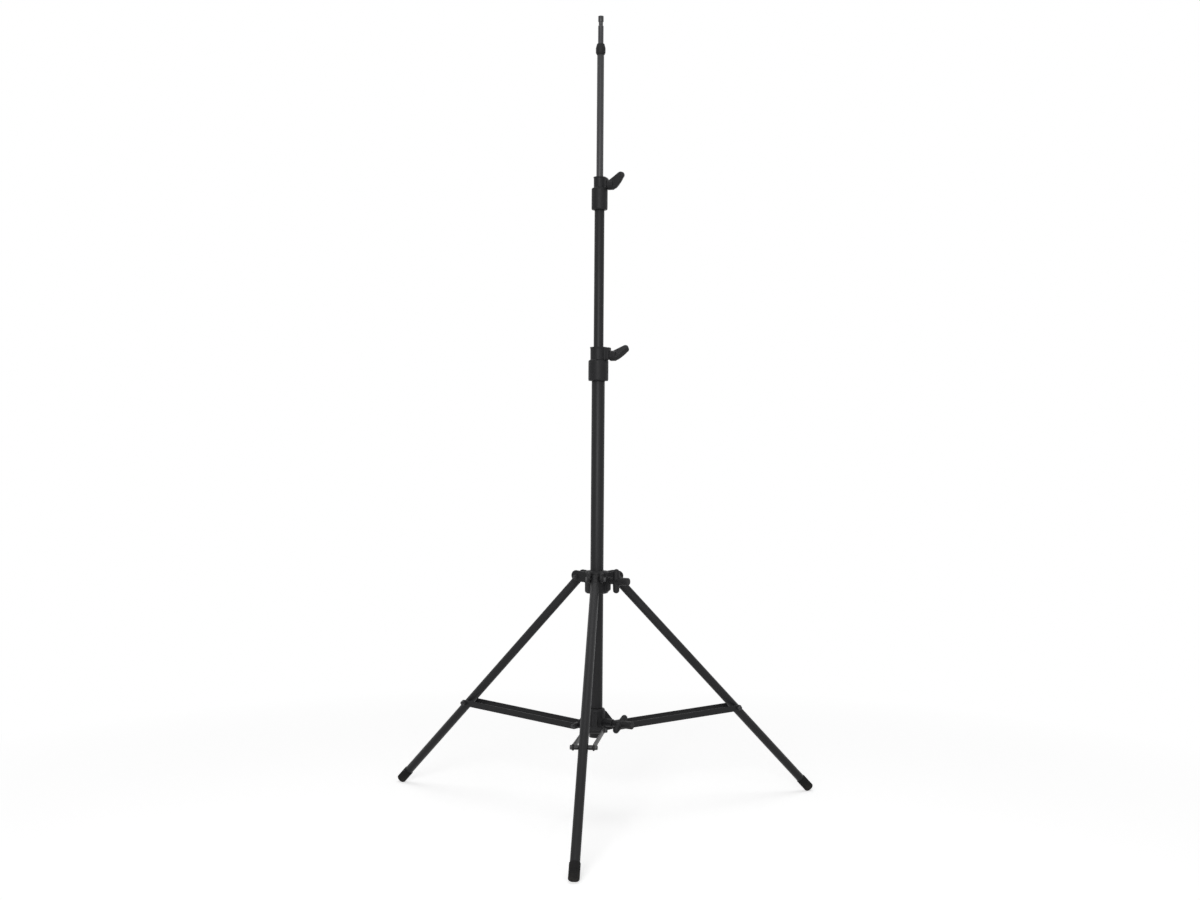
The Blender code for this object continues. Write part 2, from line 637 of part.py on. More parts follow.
def build_leg(number, azimuth, hub, root):
    """Leg in its own frame: origin on the pivot, Y along the pivot bolt, -Z down the leg."""
    tilt = Matrix.Rotation(math.radians(-LEG_SPREAD), 4, "Y")
    leg = frame_at(f"leg_{number}_frame", hub, about(azimuth) @ Matrix.Translation((HUB_PIVOT_R, 0, 0)) @ tilt)
    length = leg_length()
    bore = LEG_RADIUS - LEG_WALL
    inner_end = -length + FOOT_SOLE + FIT
    pin_place = Matrix.Translation((0, 0, -BRACE_PIN_ALONG)) @ ALONG_Y
    pin_hole = (BOLT_RADIUS + FIT, -LEG_RADIUS - PAST, LEG_RADIUS + PAST, pin_place)
    tube_length = -LEG_TUBE_START - inner_end
    tube(f"leg_{number}_tube", LEG_RADIUS, LEG_WALL, inner_end, tube_length, "anodised_black", leg, [pin_hole])

    bm = bmesh.new()
    seat = -LEG_TUBE_START + FIT
    spigot = bore - FIT
    outline = [(0, seat - FITTING_SPIGOT), (spigot, seat - FITTING_SPIGOT), (spigot, seat), (LEG_RADIUS, seat)]
    dome = arc((0, 0), LEG_RADIUS, 0, 90, 4)
    dome[-1] = (0, LEG_RADIUS)
    add_turned(bm, outline + dome)
    fitting = solid(f"leg_{number}_fitting", bm, "cast_black", leg)
    hole = bmesh.new()
    add_rod(hole, BOLT_RADIUS + RUN, -LEG_RADIUS - PAST, LEG_RADIUS + PAST, ALONG_Y, BOLT_SIDES)
    combine(fitting, hole, "DIFFERENCE")

    bm = bmesh.new()
    sleeve_start = LEG_RADIUS + FIT
    sleeve_end = STRAP_INNER - RUN
    add_turned(bm, [
        (0, -sleeve_end), (SLEEVE_PIN_RADIUS, -sleeve_end), (SLEEVE_PIN_RADIUS, -sleeve_start),
        (BOLT_RADIUS, -sleeve_start), (BOLT_RADIUS, sleeve_start), (SLEEVE_PIN_RADIUS, sleeve_start),
        (SLEEVE_PIN_RADIUS, sleeve_end), (0, sleeve_end),
    ], pin_place, BOLT_SIDES)
    solid(f"leg_{number}_brace_pin", bm, "bolt_black", leg)

    bm = bmesh.new()
    top = -length + FOOT_LENGTH
    add_turned(bm, [
        (0, -length), (FOOT_RADIUS - FOOT_EDGE, -length), (FOOT_RADIUS, -length + FOOT_EDGE),
        (FOOT_RADIUS, top - FOOT_EDGE), (FOOT_RADIUS - FOOT_EDGE / 2, top), (LEG_RADIUS + FIT, top),
        (LEG_RADIUS + FIT, -length + FOOT_SOLE), (0, -length + FOOT_SOLE),
    ])
    foot = solid(f"leg_{number}_foot", bm, "rubber_black", leg)
    floor = bmesh.new()
    foot_r = HUB_PIVOT_R + length * math.sin(math.radians(LEG_SPREAD))
    reach = 4 * FOOT_RADIUS
    near, far = foot_r - reach, foot_r + reach
    floor_place = leg_to_root(azimuth).inverted() @ about(azimuth)
    add_plate(floor, [(near, -reach), (far, -reach), (far, 0), (near, 0)], -reach, reach, floor_place)
    combine(foot, floor, "DIFFERENCE")
    return foot


def leg_to_root(azimuth):
    """The leg frame's place in the column's frame."""
    tilt = Matrix.Rotation(math.radians(-LEG_SPREAD), 4, "Y")
    return about(azimuth) @ Matrix.Translation((HUB_PIVOT_R, 0, HUB_PIVOT_Z)) @ tilt


def build_brace(number, azimuth, root):
    """Brace in its own frame: origin on the casting's pivot, X along the straps, Y along the bolts."""
    pin_r, pin_z = brace_ends()
    length = math.hypot(pin_r - CAST_PIVOT_R, pin_z - CAST_PIVOT_Z)
    rise = math.atan2(pin_z - CAST_PIVOT_Z, pin_r - CAST_PIVOT_R)
    pivot = Matrix.Translation((CAST_PIVOT_R, 0, CAST_PIVOT_Z))
    brace = frame_at(f"brace_{number}_frame", root, about(azimuth) @ pivot @ Matrix.Rotation(-rise, 4, "Y"))
    half = STRAP_HEIGHT / 2
    outline = arc((0, 0), half, 90, 270, 8) + arc((length, 0), half, -90, 90, 8)
    outer = STRAP_INNER + STRAP_THICKNESS
    end = Matrix.Translation((length, 0, 0))
    for side, low, high in (("left", STRAP_INNER, outer), ("right", -outer, -STRAP_INNER)):
        bm = bmesh.new()
        add_plate(bm, outline, low, high)
        strap = solid(f"brace_{number}_strap_{side}", bm, "strap_black", brace)
        holes = bmesh.new()
        for place in (ALONG_Y, end @ ALONG_Y):
            add_rod(holes, BOLT_RADIUS + FIT, low - PAST, high + PAST, place, BOLT_SIDES)
        combine(strap, holes, "DIFFERENCE")

    bm = bmesh.new()
    add_turned(bm, bolt_outline(outer, outer), ALONG_Y, BOLT_SIDES)
    solid(f"brace_{number}_lower_bolt", bm, "bolt_black", brace)

    for kind, thickness, turn in (("head", BOLT_HEAD_LENGTH, 180.0), ("nut", NUT_LENGTH, 0.0)):
        bm = bmesh.new()
        face = outer + FIT
        add_turned(bm, [
            (0, STRAP_INNER), (BOLT_RADIUS, STRAP_INNER), (BOLT_RADIUS, face), (WASHER_RADIUS, face),
            (WASHER_RADIUS, face + WASHER_LENGTH), (BOLT_HEAD_RADIUS, face + WASHER_LENGTH),
            (BOLT_HEAD_RADIUS, face + WASHER_LENGTH + thickness), (0, face + WASHER_LENGTH + thickness),
        ], end @ about_x(turn) @ ALONG_Y, BOLT_SIDES)
        solid(f"brace_{number}_upper_{kind}", bm, "bolt_black", brace)


def build_mid_riser(root):
    """The mid riser's frame stands at the bottom of its tube."""
    riser = frame_at("mid_riser_frame", root, Matrix.Translation((0, 0, MID_BOTTOM)))
    pin_place = Matrix.Translation((0, 0, MID_LENGTH - MID_SEAT + COLLAR_PIN_RISE)) @ ALONG_Y
    tube("mid_tube", MID_RADIUS, MID_WALL, 0, MID_LENGTH, "anodised_black", riser,
         [(COLLAR_PIN_RADIUS + FIT, MID_RADIUS - 2 * MID_WALL, MID_RADIUS + PAST, pin_place)])
    guide_ring("mid_guide", BASE_RADIUS - BASE_WALL, MID_RADIUS - MID_WALL, 0, riser)
    screw_z = clamp_collar(
        "mid", riser, (MID_RADIUS, MID_WALL, MID_LENGTH), TOP_RADIUS,
        (MID_SLEEVE_RADIUS, MID_SLEEVE_LENGTH, MID_SEAT), (MID_RING_RADIUS, MID_RING_LENGTH),
        MID_BOSS_REACH, MID_SCREW_RISE, "cast_black",
    )
    clamp_lever("mid", riser, screw_z, TOP_RADIUS, MID_BOSS_REACH, MID_LEVER_TURN)
    return riser


def build_top_riser(riser):
    """The top riser's frame stands at the bottom of its tube."""
    top = frame_at("top_riser_frame", riser, Matrix.Translation((0, 0, TOP_BOTTOM - MID_BOTTOM)))
    roll_pin_z = TOP_LENGTH - ROLL_PIN_DROP
    roll_pin = Matrix.Translation((0, 0, roll_pin_z)) @ ALONG_Y
    reach = TOP_RADIUS + PAST
    tube("top_tube", TOP_RADIUS, TOP_WALL, 0, TOP_LENGTH, "anodised_grey", top,
         [(ROLL_PIN_RADIUS + FIT, -reach, reach, roll_pin)])
    guide_ring("top_guide", MID_RADIUS - MID_WALL, TOP_RADIUS - TOP_WALL, 0, top)

    seat = TOP_LENGTH + FIT
    shoulder = seat + SHOULDER_HEIGHT
    head = shoulder + PIN_LENGTH
    waist_top = head - PIN_HEAD_LENGTH
    waist_bottom = waist_top - PIN_WAIST_LENGTH
    slope = PIN_RADIUS - PIN_WAIST_RADIUS
    spigot = TOP_RADIUS - TOP_WALL - FIT
    bm = bmesh.new()
    add_turned(bm, [
        (0, seat - SPIGOT_LENGTH), (spigot, seat - SPIGOT_LENGTH), (spigot, seat), (SHOULDER_FOOT_RADIUS, seat),
        (SHOULDER_RADIUS, seat + SHOULDER_TAPER), (SHOULDER_RADIUS, shoulder - SHOULDER_FLARE),
        (SHOULDER_SEAT_RADIUS, shoulder),
        (PIN_RADIUS, shoulder), (PIN_RADIUS, waist_bottom), (PIN_WAIST_RADIUS, waist_bottom + slope),
        (PIN_WAIST_RADIUS, waist_top - slope), (PIN_RADIUS, waist_top), (PIN_RADIUS, head - PIN_CHAMFER),
        (PIN_RADIUS - PIN_CHAMFER, head), (0, head),
    ])
    pin = solid("baby_pin", bm, "steel_dark", top)
    hole = bmesh.new()
    add_rod(hole, ROLL_PIN_RADIUS + FIT, -reach, reach, roll_pin)
    combine(pin, hole, "DIFFERENCE")
    bm = bmesh.new()
    add_rod(bm, ROLL_PIN_RADIUS, -TOP_RADIUS + FIT, TOP_RADIUS - FIT, roll_pin, BOLT_SIDES)
    solid("spigot_roll_pin", bm, "steel_dark", top)


def centre_on_feet(root, feet):
    """Shifts the stand so that the world's origin lies midway between its outermost feet."""
    bpy.context.view_layer.update()
    reach = [(foot.matrix_world @ Vector(vert.co)).y for foot in feet for vert in foot.data.vertices]
    root.location.y = -(min(reach) + max(reach)) / 2


def build_stand():
    root = frame_at("stand", None)
    build_column(root)
    build_lower_casting(root)
    hub = build_hub(root)
    feet = []
    for number, azimuth in enumerate(LEG_AZIMUTHS, 1):
        feet.append(build_leg(number, azimuth, hub, root))
        build_brace(number, azimuth, root)
    riser = build_mid_riser(root)
    build_top_riser(riser)
    centre_on_feet(root, feet)


clear_scene()
build_stand()
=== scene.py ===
"""Baby stand: the visible pieces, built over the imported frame. Metres, +Z up.

Each moving group is modelled in its own frame, with the origin on its joint, and then rides on its body.
"""
import json
import math
from collections import namedtuple

import bmesh
import bpy
from mathutils import Matrix, Vector


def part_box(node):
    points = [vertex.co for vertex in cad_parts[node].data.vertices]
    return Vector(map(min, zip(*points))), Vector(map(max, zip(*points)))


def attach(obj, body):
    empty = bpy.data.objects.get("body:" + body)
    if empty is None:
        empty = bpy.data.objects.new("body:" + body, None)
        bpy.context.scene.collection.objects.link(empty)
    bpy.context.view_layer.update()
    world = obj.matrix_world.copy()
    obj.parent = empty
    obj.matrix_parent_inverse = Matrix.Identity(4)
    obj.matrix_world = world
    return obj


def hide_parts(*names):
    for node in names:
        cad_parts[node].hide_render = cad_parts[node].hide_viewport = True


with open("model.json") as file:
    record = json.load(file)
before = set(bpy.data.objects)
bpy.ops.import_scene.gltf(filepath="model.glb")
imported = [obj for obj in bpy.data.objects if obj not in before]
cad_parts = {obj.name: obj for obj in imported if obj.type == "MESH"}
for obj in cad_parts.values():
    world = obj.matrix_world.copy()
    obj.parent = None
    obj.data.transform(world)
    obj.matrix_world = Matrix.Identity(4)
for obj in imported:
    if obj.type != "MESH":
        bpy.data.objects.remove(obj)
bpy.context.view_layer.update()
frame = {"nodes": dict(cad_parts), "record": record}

nodes = frame["nodes"]

# Facets round a tube, a casting, a grip, a boss, a small part and a hexagon
TUBE_SIDES = 72
CAST_SIDES = 64
GRIP_SIDES = 48
BOSS_SIDES = 40
SMALL_SIDES = 32
HEXAGON = 6
SMOOTH_ANGLE = math.radians(32)
BEVEL_ANGLE = math.radians(50)
TINY = 1e-7

# Voxel size and rounds of smoothing of a casting, a collar and a grip
CAST_SKIN = (0.0010, 5)
COLLAR_SKIN = (0.0009, 5)
GRIP_SKIN = (0.0007, 8)

# Fillets that several parts share
BROKEN_EDGE = 0.0004
FINE_FILLET = 0.0006
SMALL_FILLET = 0.0010
SOFT_FILLET = 0.0012
ROUND_FILLET = 0.0020

# Gap between touching pieces, and round running ones
FIT = 0.0003
RUN = 0.0004

# Column
BASE_RADIUS, BASE_WALL = 0.0190, 0.0020
MID_RADIUS, MID_WALL = 0.01425, 0.0016
TOP_RADIUS, TOP_WALL = 0.0100, 0.0015
MID_FRAME_Z = 0.6655
TOP_FRAME_Z = 1.0565
CAP_RIM, CAP_FILLET = 0.0020, 0.0009

# Collars: radii of tube, sleeve and ring, heights of the bottom and of the screw, reach of the screw boss,
# and the slope on the boss's outer top edge
Collar = namedtuple("Collar", "tube bottom sleeve sleeve_length ring ring_length reach screw slope")
BASE_COLLAR = Collar(BASE_RADIUS, 1.2470, 0.0290, 0.0605, 0.0235, 0.0375, 0.0355, 1.3190, 0.0008)
MID_COLLAR = Collar(MID_RADIUS, 1.7405, 0.0233, 0.0635, 0.0172, 0.0320, 0.0245, 1.8115, 0.0045)
SCREW_AZIMUTH = -16.0

# A collar's hem, shelf, lip, screw boss and pin
HEM_IN, HEM_RISE, HEM_FILLET = 0.0010, 0.0040, 0.0060
SHELF_DROP, SHELF_FILLET = 0.0005, 0.0045
LIP_OUT, LIP_START, LIP_LOW, LIP_HIGH = 0.0012, 0.0050, 0.0035, 0.0004
COLLAR_BOSS_HALF, COLLAR_BOSS_DROP, COLLAR_BOSS_SINK = 0.0110, 0.0115, 0.00175
COLLAR_BOSS_EDGE = 0.0030
COLLAR_PIN_RISE = 0.0300
COLLAR_PIN_RADIUS = 0.0025

# Clamping levers
LEVER_HUB_RADIUS = 0.0150
LEVER_HUB_LENGTH = 0.0185
LEVER_TIP_OUT = 0.0400
LEVER_TIP_UP = 0.0260
LEVER_TIP_RADIUS = 0.0100
LEVER_THICKNESS = 0.0170
LEVER_HEEL_OUT = 0.0055
LEVER_HEEL_UP = 0.0020
LEVER_FOOT = 0.0025
LEVER_INSET = 0.0030
LEVER_GAP = 0.0010
LEVER_BELLY, BELLY_STEPS = 0.0016, 10
LEVER_EDGE, LEVER_FILLET = 0.0044, 0.0030
BASE_LEVER_TURN = -38.0
MID_LEVER_TURN = 7.0

# T-knobs: height, reach of the boss, distance of the bar, turn about the screw
Knob = namedtuple("Knob", "height reach bar turn")
KNOB_AZIMUTH = -30.0
HUB_KNOB = Knob(0.6725, 0.0460, 0.0670, 0.0)
LOWER_KNOB = Knob(0.2650, 0.0600, 0.0840, -56.0)
KNOB_HALF = 0.0350
KNOB_BAR_RADIUS = 0.0102
KNOB_TIP_RADIUS = 0.0094
KNOB_TIP_START, KNOB_TIP_END, KNOB_TIP_STEPS = 15, 80, 6
KNOB_NECK_RADIUS, KNOB_NECK_FILLET = 0.0095, 0.0100
KNOB_CROWN, KNOB_CROWN_RADIUS = 0.0420, 0.0112
KNOB_SWELL_FILLET, KNOB_CROWN_FILLET = 0.0060, 0.0022
KNOB_GAP = 0.0012

# Pin: heights of its seat and of its shoulder's top
PIN_SEAT_Z, PIN_SHOULDER_Z = 2.1885, 2.2200
PIN_RADIUS, PIN_WAIST_RADIUS, PIN_TIP_RADIUS = 0.0079, 0.0062, 0.0071
PIN_HEAD, PIN_WAIST, PIN_WAIST_RAMP = 0.0160, 0.0130, 0.0017
PIN_TIP, PIN_EDGE = 0.0008, 0.0005
SPIGOT_FILLET = 0.0008
SHOULDER_SEAT_RADIUS, SHOULDER_RADIUS, SHOULDER_NECK_RADIUS = 0.0115, 0.0140, 0.0106
SHOULDER_RISE, SHOULDER_DROP, SHOULDER_FILLET = 0.0055, 0.0125, 0.0016
ROLL_PIN_RADIUS = 0.0020

# Hub
HUB_BOTTOM, HUB_TOP = 0.6340, 0.7000
HUB_RADIUS, HUB_BORE = 0.0345, 0.0220
HUB_PIVOT_R, HUB_PIVOT_Z = 0.0600, 0.6790
EAR_RADIUS, EAR_LOW, EAR_HIGH = 0.0157, 0.0134, 0.0214
EAR_LIFT, EAR_DROP = 0.0045, 0.0135
EAR_ARC = 85
HUB_SINK = 0.0040
HUB_HEM = 0.0080
GUSSET_HALF = 0.0065
GUSSET_IN, GUSSET_BACK = 0.0030, 0.0010
GUSSET_RISE, GUSSET_END_RISE = 0.0020, 0.0125

# Lower casting
CAST_BOTTOM, CAST_TOP = 0.2365, 0.3030
CAST_RADIUS = 0.0265
CAST_HEM, CAST_TOP_HEM, CAST_FILLET = 0.0020, 0.0022, 0.0050
CAST_PIVOT_R, CAST_PIVOT_Z = 0.0580, 0.2485
EYE_RADIUS, EYE_HALF, EYE_FILLET = 0.0090, 0.0246, 0.0007
WEB_HALF, WEB_OUT, WEB_DROP, WEB_EYE_SHARE = 0.0070, 0.0050, 0.0105, 0.9
BOSS_RADIUS = 0.0115

# Legs and braces
AZIMUTHS = (30.0, 150.0, -90.0)
SPREAD = 45.24
LEG_RADIUS, LEG_WALL = 0.0127, 0.0015
LEG_LENGTH = 0.952315
LEG_TUBE_START = 0.0220

# The leg's top fitting: plug, and the heights of the groove under its dome
PLUG_LENGTH, PLUG_FILLET = 0.0380, 0.0005
KNUCKLE_FLUSH, KNUCKLE_GROOVE = 0.0001, 0.0006
KNUCKLE_HEIGHTS = (-0.0135, -0.0125, -0.0110)

# Boots, brace pins and straps
FOOT_RADIUS, FOOT_LENGTH, FOOT_SOLE = 0.0144, 0.0450, 0.0060
FOOT_RIM_FILLET = 0.0014
GROOVES = (0.0090, 0.0150, 0.0210)
GROOVE_DEPTH, GROOVE_FLAT, GROOVE_WIDTH = 0.0007, 0.0020, 0.0027
PIN_ALONG = 0.5710
STRAP_INNER, STRAP_THICKNESS, STRAP_HALF = 0.0250, 0.0030, 0.0090
SLEEVE_RADIUS, SLEEVE_BORE_SHARE = 0.0065, 0.9

# Bolts, washers, heads, lock nuts and rolled pins
BOLT_RADIUS = 0.0040
WASHER_RADIUS, WASHER_LENGTH = 0.0080, 0.0014
HEAD_RADIUS, HEAD_LENGTH = 0.0068, 0.0053
HEAD_CHAMFER, HEAD_CHAMFER_RISE = 0.0014, 0.0010
NUT_LENGTH, NUT_HEXAGON_SHARE = 0.0080, 0.66
NUT_CHAMFER, NUT_CHAMFER_LOW, NUT_CHAMFER_HIGH = 0.0008, 0.0006, 0.0004
NUT_RING_SHARE, NUT_MOUTH_SHARE = 0.86, 0.85
NUT_RING_TUCK, NUT_RING_SINK = 0.0002, 0.0004
THREAD_PITCH, THREAD_DEPTH, THREAD_END = 0.00125, 0.0006, 0.0004
ROLLED_CHAMFER_SHARE, ROLLED_BORE_SHARE = 0.2, 0.55

# Camera: millimetres, degrees about the column and of roll, and metres before that turn
SENSOR_WIDTH, LENS = 36.0, 47.04
CAMERA_TURN, CAMERA_ROLL = 3.86, 0.42
CAMERA_PLACE = (0.0064, -4.526, 1.0477)
CAMERA_REACH = 100.0

# Lights: name, place, target, width and height, watts; and the world's strength
LIGHTS = (
    ("key", (-0.4, -5.4, 2.2), (0, 0.1, 1.1), (1.6, 2.2), 140),
    ("fill", (2.6, -4.6, 2.0), (0, 0.1, 1.0), (2.0, 2.0), 24),
    ("top", (0.0, 0.6, 4.6), (0, 0.1, 0.6), (3.0, 3.0), 50),
)
WORLD_LIGHT = 0.14

# Floor: glow beside the feet, and the distances over which it turns white
FLOOR_RADIUS, FLOOR_SIDES = 30.0, 96
FLOOR_COLOUR = (0.90, 0.90, 0.90)
FLOOR_GLOW = 0.56
FLOOR_FADE = (0.7, 2.4)


def about(azimuth):
    return Matrix.Rotation(math.radians(azimuth), 4, "Z")


def shift(x=0.0, y=0.0, z=0.0):
    return Matrix.Translation((x, y, z))


def spin_x(degrees):
    return Matrix.Rotation(math.radians(degrees), 4, "X")


ALONG_X = Matrix.Rotation(math.radians(90), 4, "Y")
ALONG_Y = Matrix.Rotation(math.radians(-90), 4, "X")

low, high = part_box("base_tube")
COLUMN = shift((low.x + high.x) / 2, (low.y + high.y) / 2)


# Outlines and solid shapes

def rounded(corners, steps=5):
    """Closed outline from (x, y) or (x, y, fillet radius) corners."""
    points = []
    for index, corner in enumerate(corners):
        here = Vector(corner[:2])
        size = corner[2] if len(corner) > 2 else 0
        if not size:
            points.append(tuple(here))
            continue
        before = (Vector(corners[index - 1][:2]) - here).normalized()
        after = (Vector(corners[(index + 1) % len(corners)][:2]) - here).normalized()
        half = before.angle(after) / 2
        centre = here + (before + after).normalized() * size / math.sin(half)
        start = here + before * size / math.tan(half) - centre
        end = here + after * size / math.tan(half) - centre
        first = math.atan2(start.y, start.x)
        sweep = (math.atan2(end.y, end.x) - first + math.pi) % math.tau - math.pi
        for step in range(steps + 1):
            angle = first + sweep * step / steps
            points.append((centre.x + size * math.cos(angle), centre.y + size * math.sin(angle)))
    return points


def arc(centre, radius, start, end, steps):
    """Points round a centre between two angles in degrees."""
    points = []
    for step in range(steps + 1):
        angle = math.radians(start + (end - start) * step / steps)
        points.append((centre[0] + radius * math.cos(angle), centre[1] + radius * math.sin(angle)))
    return points


def turned(outline, place=Matrix(), sides=CAST_SIDES):
    """Closed surface turned about Z from a closed loop of (radius, height) points."""
    bm = bmesh.new()
    rings = []
    for radius, height in outline:
        if radius < TINY:
            rings.append([bm.verts.new((0, 0, height))])
            continue
        ring = []
        for side in range(sides):
            angle = math.tau * side / sides
            ring.append(bm.verts.new((radius * math.cos(angle), radius * math.sin(angle), height)))
        rings.append(ring)
    for first, second in zip(rings, rings[1:] + rings[:1]):
        if len(first) == 1 and len(second) == 1:
            continue
        for side in range(sides):
            after = (side + 1) % sides
            corners = [first[side % len(first)], first[after % len(first)],
                       second[after % len(second)], second[side % len(second)]]
            bm.faces.new(list(dict.fromkeys(corners)))
    bmesh.ops.recalc_face_normals(bm, faces=bm.faces)
    bm.transform(place)
    return bm


def rod(radius, low, high, place=Matrix(), edge=0.0, sides=SMALL_SIDES):
    """Round bar between two heights."""
    outline = rounded([(0, low), (radius, low, edge), (radius, high, edge), (0, high)], steps=3)
    return turned(outline, place, sides)


def plate(loops, low, high, place=Matrix(), edge=0.0, segments=3):
    """Plate between two Y levels from closed loops of (x, z) points: the outline, then any holes."""
    bm = bmesh.new()
    edges = []
    for loop in loops:
        verts = [bm.verts.new((x, low, z)) for x, z in loop]
        edges += [bm.edges.new(pair) for pair in zip(verts, verts[1:] + verts[:1])]
    bmesh.ops.triangle_fill(bm, use_beauty=True, use_dissolve=False, edges=edges, normal=(0, -1, 0))
    grown = bmesh.ops.extrude_face_region(bm, geom=bm.faces[:])
    moved = [item for item in grown["geom"] if isinstance(item, bmesh.types.BMVert)]
    bmesh.ops.translate(bm, vec=(0, high - low, 0), verts=moved)
    bmesh.ops.recalc_face_normals(bm, faces=bm.faces)
    if edge:
        rim = [e for e in bm.edges if len(e.link_faces) == 2 and e.calc_face_angle(0) > BEVEL_ANGLE]
        bmesh.ops.bevel(bm, geom=rim, offset=edge, segments=segments, profile=0.5, affect="EDGES")
    bm.transform(place)
    return bm


def joined(shapes):
    """One bmesh from several closed ones."""
    whole = bmesh.new()
    for shape in shapes:
        mesh = bpy.data.meshes.new("shape")
        shape.to_mesh(mesh)
        shape.free()
        whole.from_mesh(mesh)
        bpy.data.meshes.remove(mesh)
    return whole


def add_object(name, data):
    obj = bpy.data.objects.new(name, data)
    bpy.context.scene.collection.objects.link(obj)
    return obj


def piece(name, shapes, place, body, finish, stands_for=()):
    """Places a piece in its frame, gives it its finish and makes it ride on its body."""
    bm = joined(shapes) if isinstance(shapes, (list, tuple)) else shapes
    mesh = bpy.data.meshes.new(name)
    bm.to_mesh(mesh)
    bm.free()
    mesh.shade_smooth()
    mesh.set_sharp_from_angle(angle=SMOOTH_ANGLE)
    obj = add_object(name, mesh)
    obj.matrix_world = place
    mesh.materials.append(MATERIALS[finish])
    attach(obj, body)
    if stands_for:
        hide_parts(*stands_for)
    return obj


def moulded(name, shapes, place, body, finish, stands_for, voxel, rounds):
    """A piece whose overlapping shapes are melted into one skin with soft fillets."""
    obj = piece(name, shapes, place, body, finish, stands_for)
    remesh = obj.modifiers.new("Skin", "REMESH")
    remesh.mode = "VOXEL"
    remesh.voxel_size = voxel
    remesh.use_smooth_shade = True
    smooth = obj.modifiers.new("Fillets", "SMOOTH")
    smooth.factor = 0.5
    smooth.iterations = rounds


# Finishes

def new_material(name, colour, metallic, roughness, specular):
    material = bpy.data.materials.new(name)
    material.use_nodes = True
    tree = material.node_tree
    shader = tree.nodes["Principled BSDF"]
    shader.inputs["Base Color"].default_value = (*colour, 1)
    shader.inputs["Metallic"].default_value = metallic
    shader.inputs["Roughness"].default_value = roughness
    shader.inputs["Specular IOR Level"].default_value = specular
    return material, tree, shader


def add_node(tree, kind, **values):
    node = tree.nodes.new(kind)
    for key, value in values.items():
        setattr(node, key, value)
    return node


def scaled_position(tree, scale):
    """The place in object space, in metres, times a factor for each axis."""
    coordinates = add_node(tree, "ShaderNodeTexCoord")
    mapping = add_node(tree, "ShaderNodeMapping")
    mapping.inputs["Scale"].default_value = scale
    tree.links.new(coordinates.outputs["Object"], mapping.inputs["Vector"])
    return mapping.outputs["Vector"]


def axis_distance(tree):
    """Distance from the object's Z axis, in metres."""
    length = add_node(tree, "ShaderNodeVectorMath", operation="LENGTH")
    tree.links.new(scaled_position(tree, (1, 1, 0)), length.inputs[0])
    return length.outputs["Value"]


def noise(tree, scale, stretch=(1, 1, 1), detail=3.0, roughness=0.5):
    """Noise in object space, in metres, stretched along the axes that have a small factor."""
    position = scaled_position(tree, [scale * factor for factor in stretch])
    texture = add_node(tree, "ShaderNodeTexNoise")
    texture.inputs["Scale"].default_value = 1.0
    texture.inputs["Detail"].default_value = detail
    texture.inputs["Roughness"].default_value = roughness
    tree.links.new(position, texture.inputs["Vector"])
    return texture.outputs["Fac"]


def spread(tree, source, low, high, start=0.3, end=0.7):
    """Maps a texture's range onto a range of values."""
    node = add_node(tree, "ShaderNodeMapRange")
    node.inputs["From Min"].default_value = start
    node.inputs["From Max"].default_value = end
    node.inputs["To Min"].default_value = low
    node.inputs["To Max"].default_value = high
    tree.links.new(source, node.inputs["Value"])
    return node.outputs["Result"]


def combined(tree, operation, first, second):
    node = add_node(tree, "ShaderNodeMath", operation=operation)
    tree.links.new(first, node.inputs[0])
    tree.links.new(second, node.inputs[1])
    return node.outputs["Value"]


def blend_colour(tree, factor, first, second):
    node = add_node(tree, "ShaderNodeMix", data_type="RGBA")
    tree.links.new(factor, node.inputs["Factor"])
    for value, socket in ((first, node.inputs[6]), (second, node.inputs[7])):
        if isinstance(value, tuple):
            socket.default_value = (*value, 1)
        else:
            tree.links.new(value, socket)
    return node.outputs[2]


def blend_value(tree, factor, first, second):
    node = add_node(tree, "ShaderNodeMix", data_type="FLOAT")
    tree.links.new(factor, node.inputs["Factor"])
    tree.links.new(first, node.inputs[2])
    tree.links.new(second, node.inputs[3])
    return node.outputs[0]


def lighter(colour, factor):
    return tuple(value * factor for value in colour)


def bump(tree, shader, source, distance, strength):
    node = add_node(tree, "ShaderNodeBump")
    node.inputs["Distance"].default_value = distance
    node.inputs["Strength"].default_value = strength
    tree.links.new(source, node.inputs["Height"])
    tree.links.new(node.outputs["Normal"], shader.inputs["Normal"])


def edge_wear(tree, start, end):
    """Rises from 0 to 1 on sharp outer edges."""
    geometry = add_node(tree, "ShaderNodeNewGeometry")
    return spread(tree, geometry.outputs["Pointiness"], 0.0, 1.0, start, end)


def anodised(name, colour, roughness, worn, specular):
    """Drawn aluminium tube, anodised: faint lines along it, thin rubbed streaks."""
    material, tree, shader = new_material(name, colour, metallic=0.30, roughness=roughness, specular=specular)
    lines = noise(tree, 1500, stretch=(1, 1, 0.006), detail=2.0)
    rubbed = noise(tree, 420, stretch=(1, 1, 0.012), detail=4.0, roughness=0.6)
    patches = noise(tree, 14, stretch=(1, 1, 0.5), detail=2.0)
    streaks = spread(tree, rubbed, 0.0, 1.0, start=0.60, end=0.78)
    clouded = blend_colour(tree, spread(tree, patches, 0.0, 0.5), colour, lighter(colour, 1.25))
    tree.links.new(blend_colour(tree, streaks, clouded, worn), shader.inputs["Base Color"])
    tree.links.new(spread(tree, rubbed, roughness - 0.05, roughness + 0.07), shader.inputs["Roughness"])
    bump(tree, shader, lines, distance=0.00002, strength=0.5)
    return material


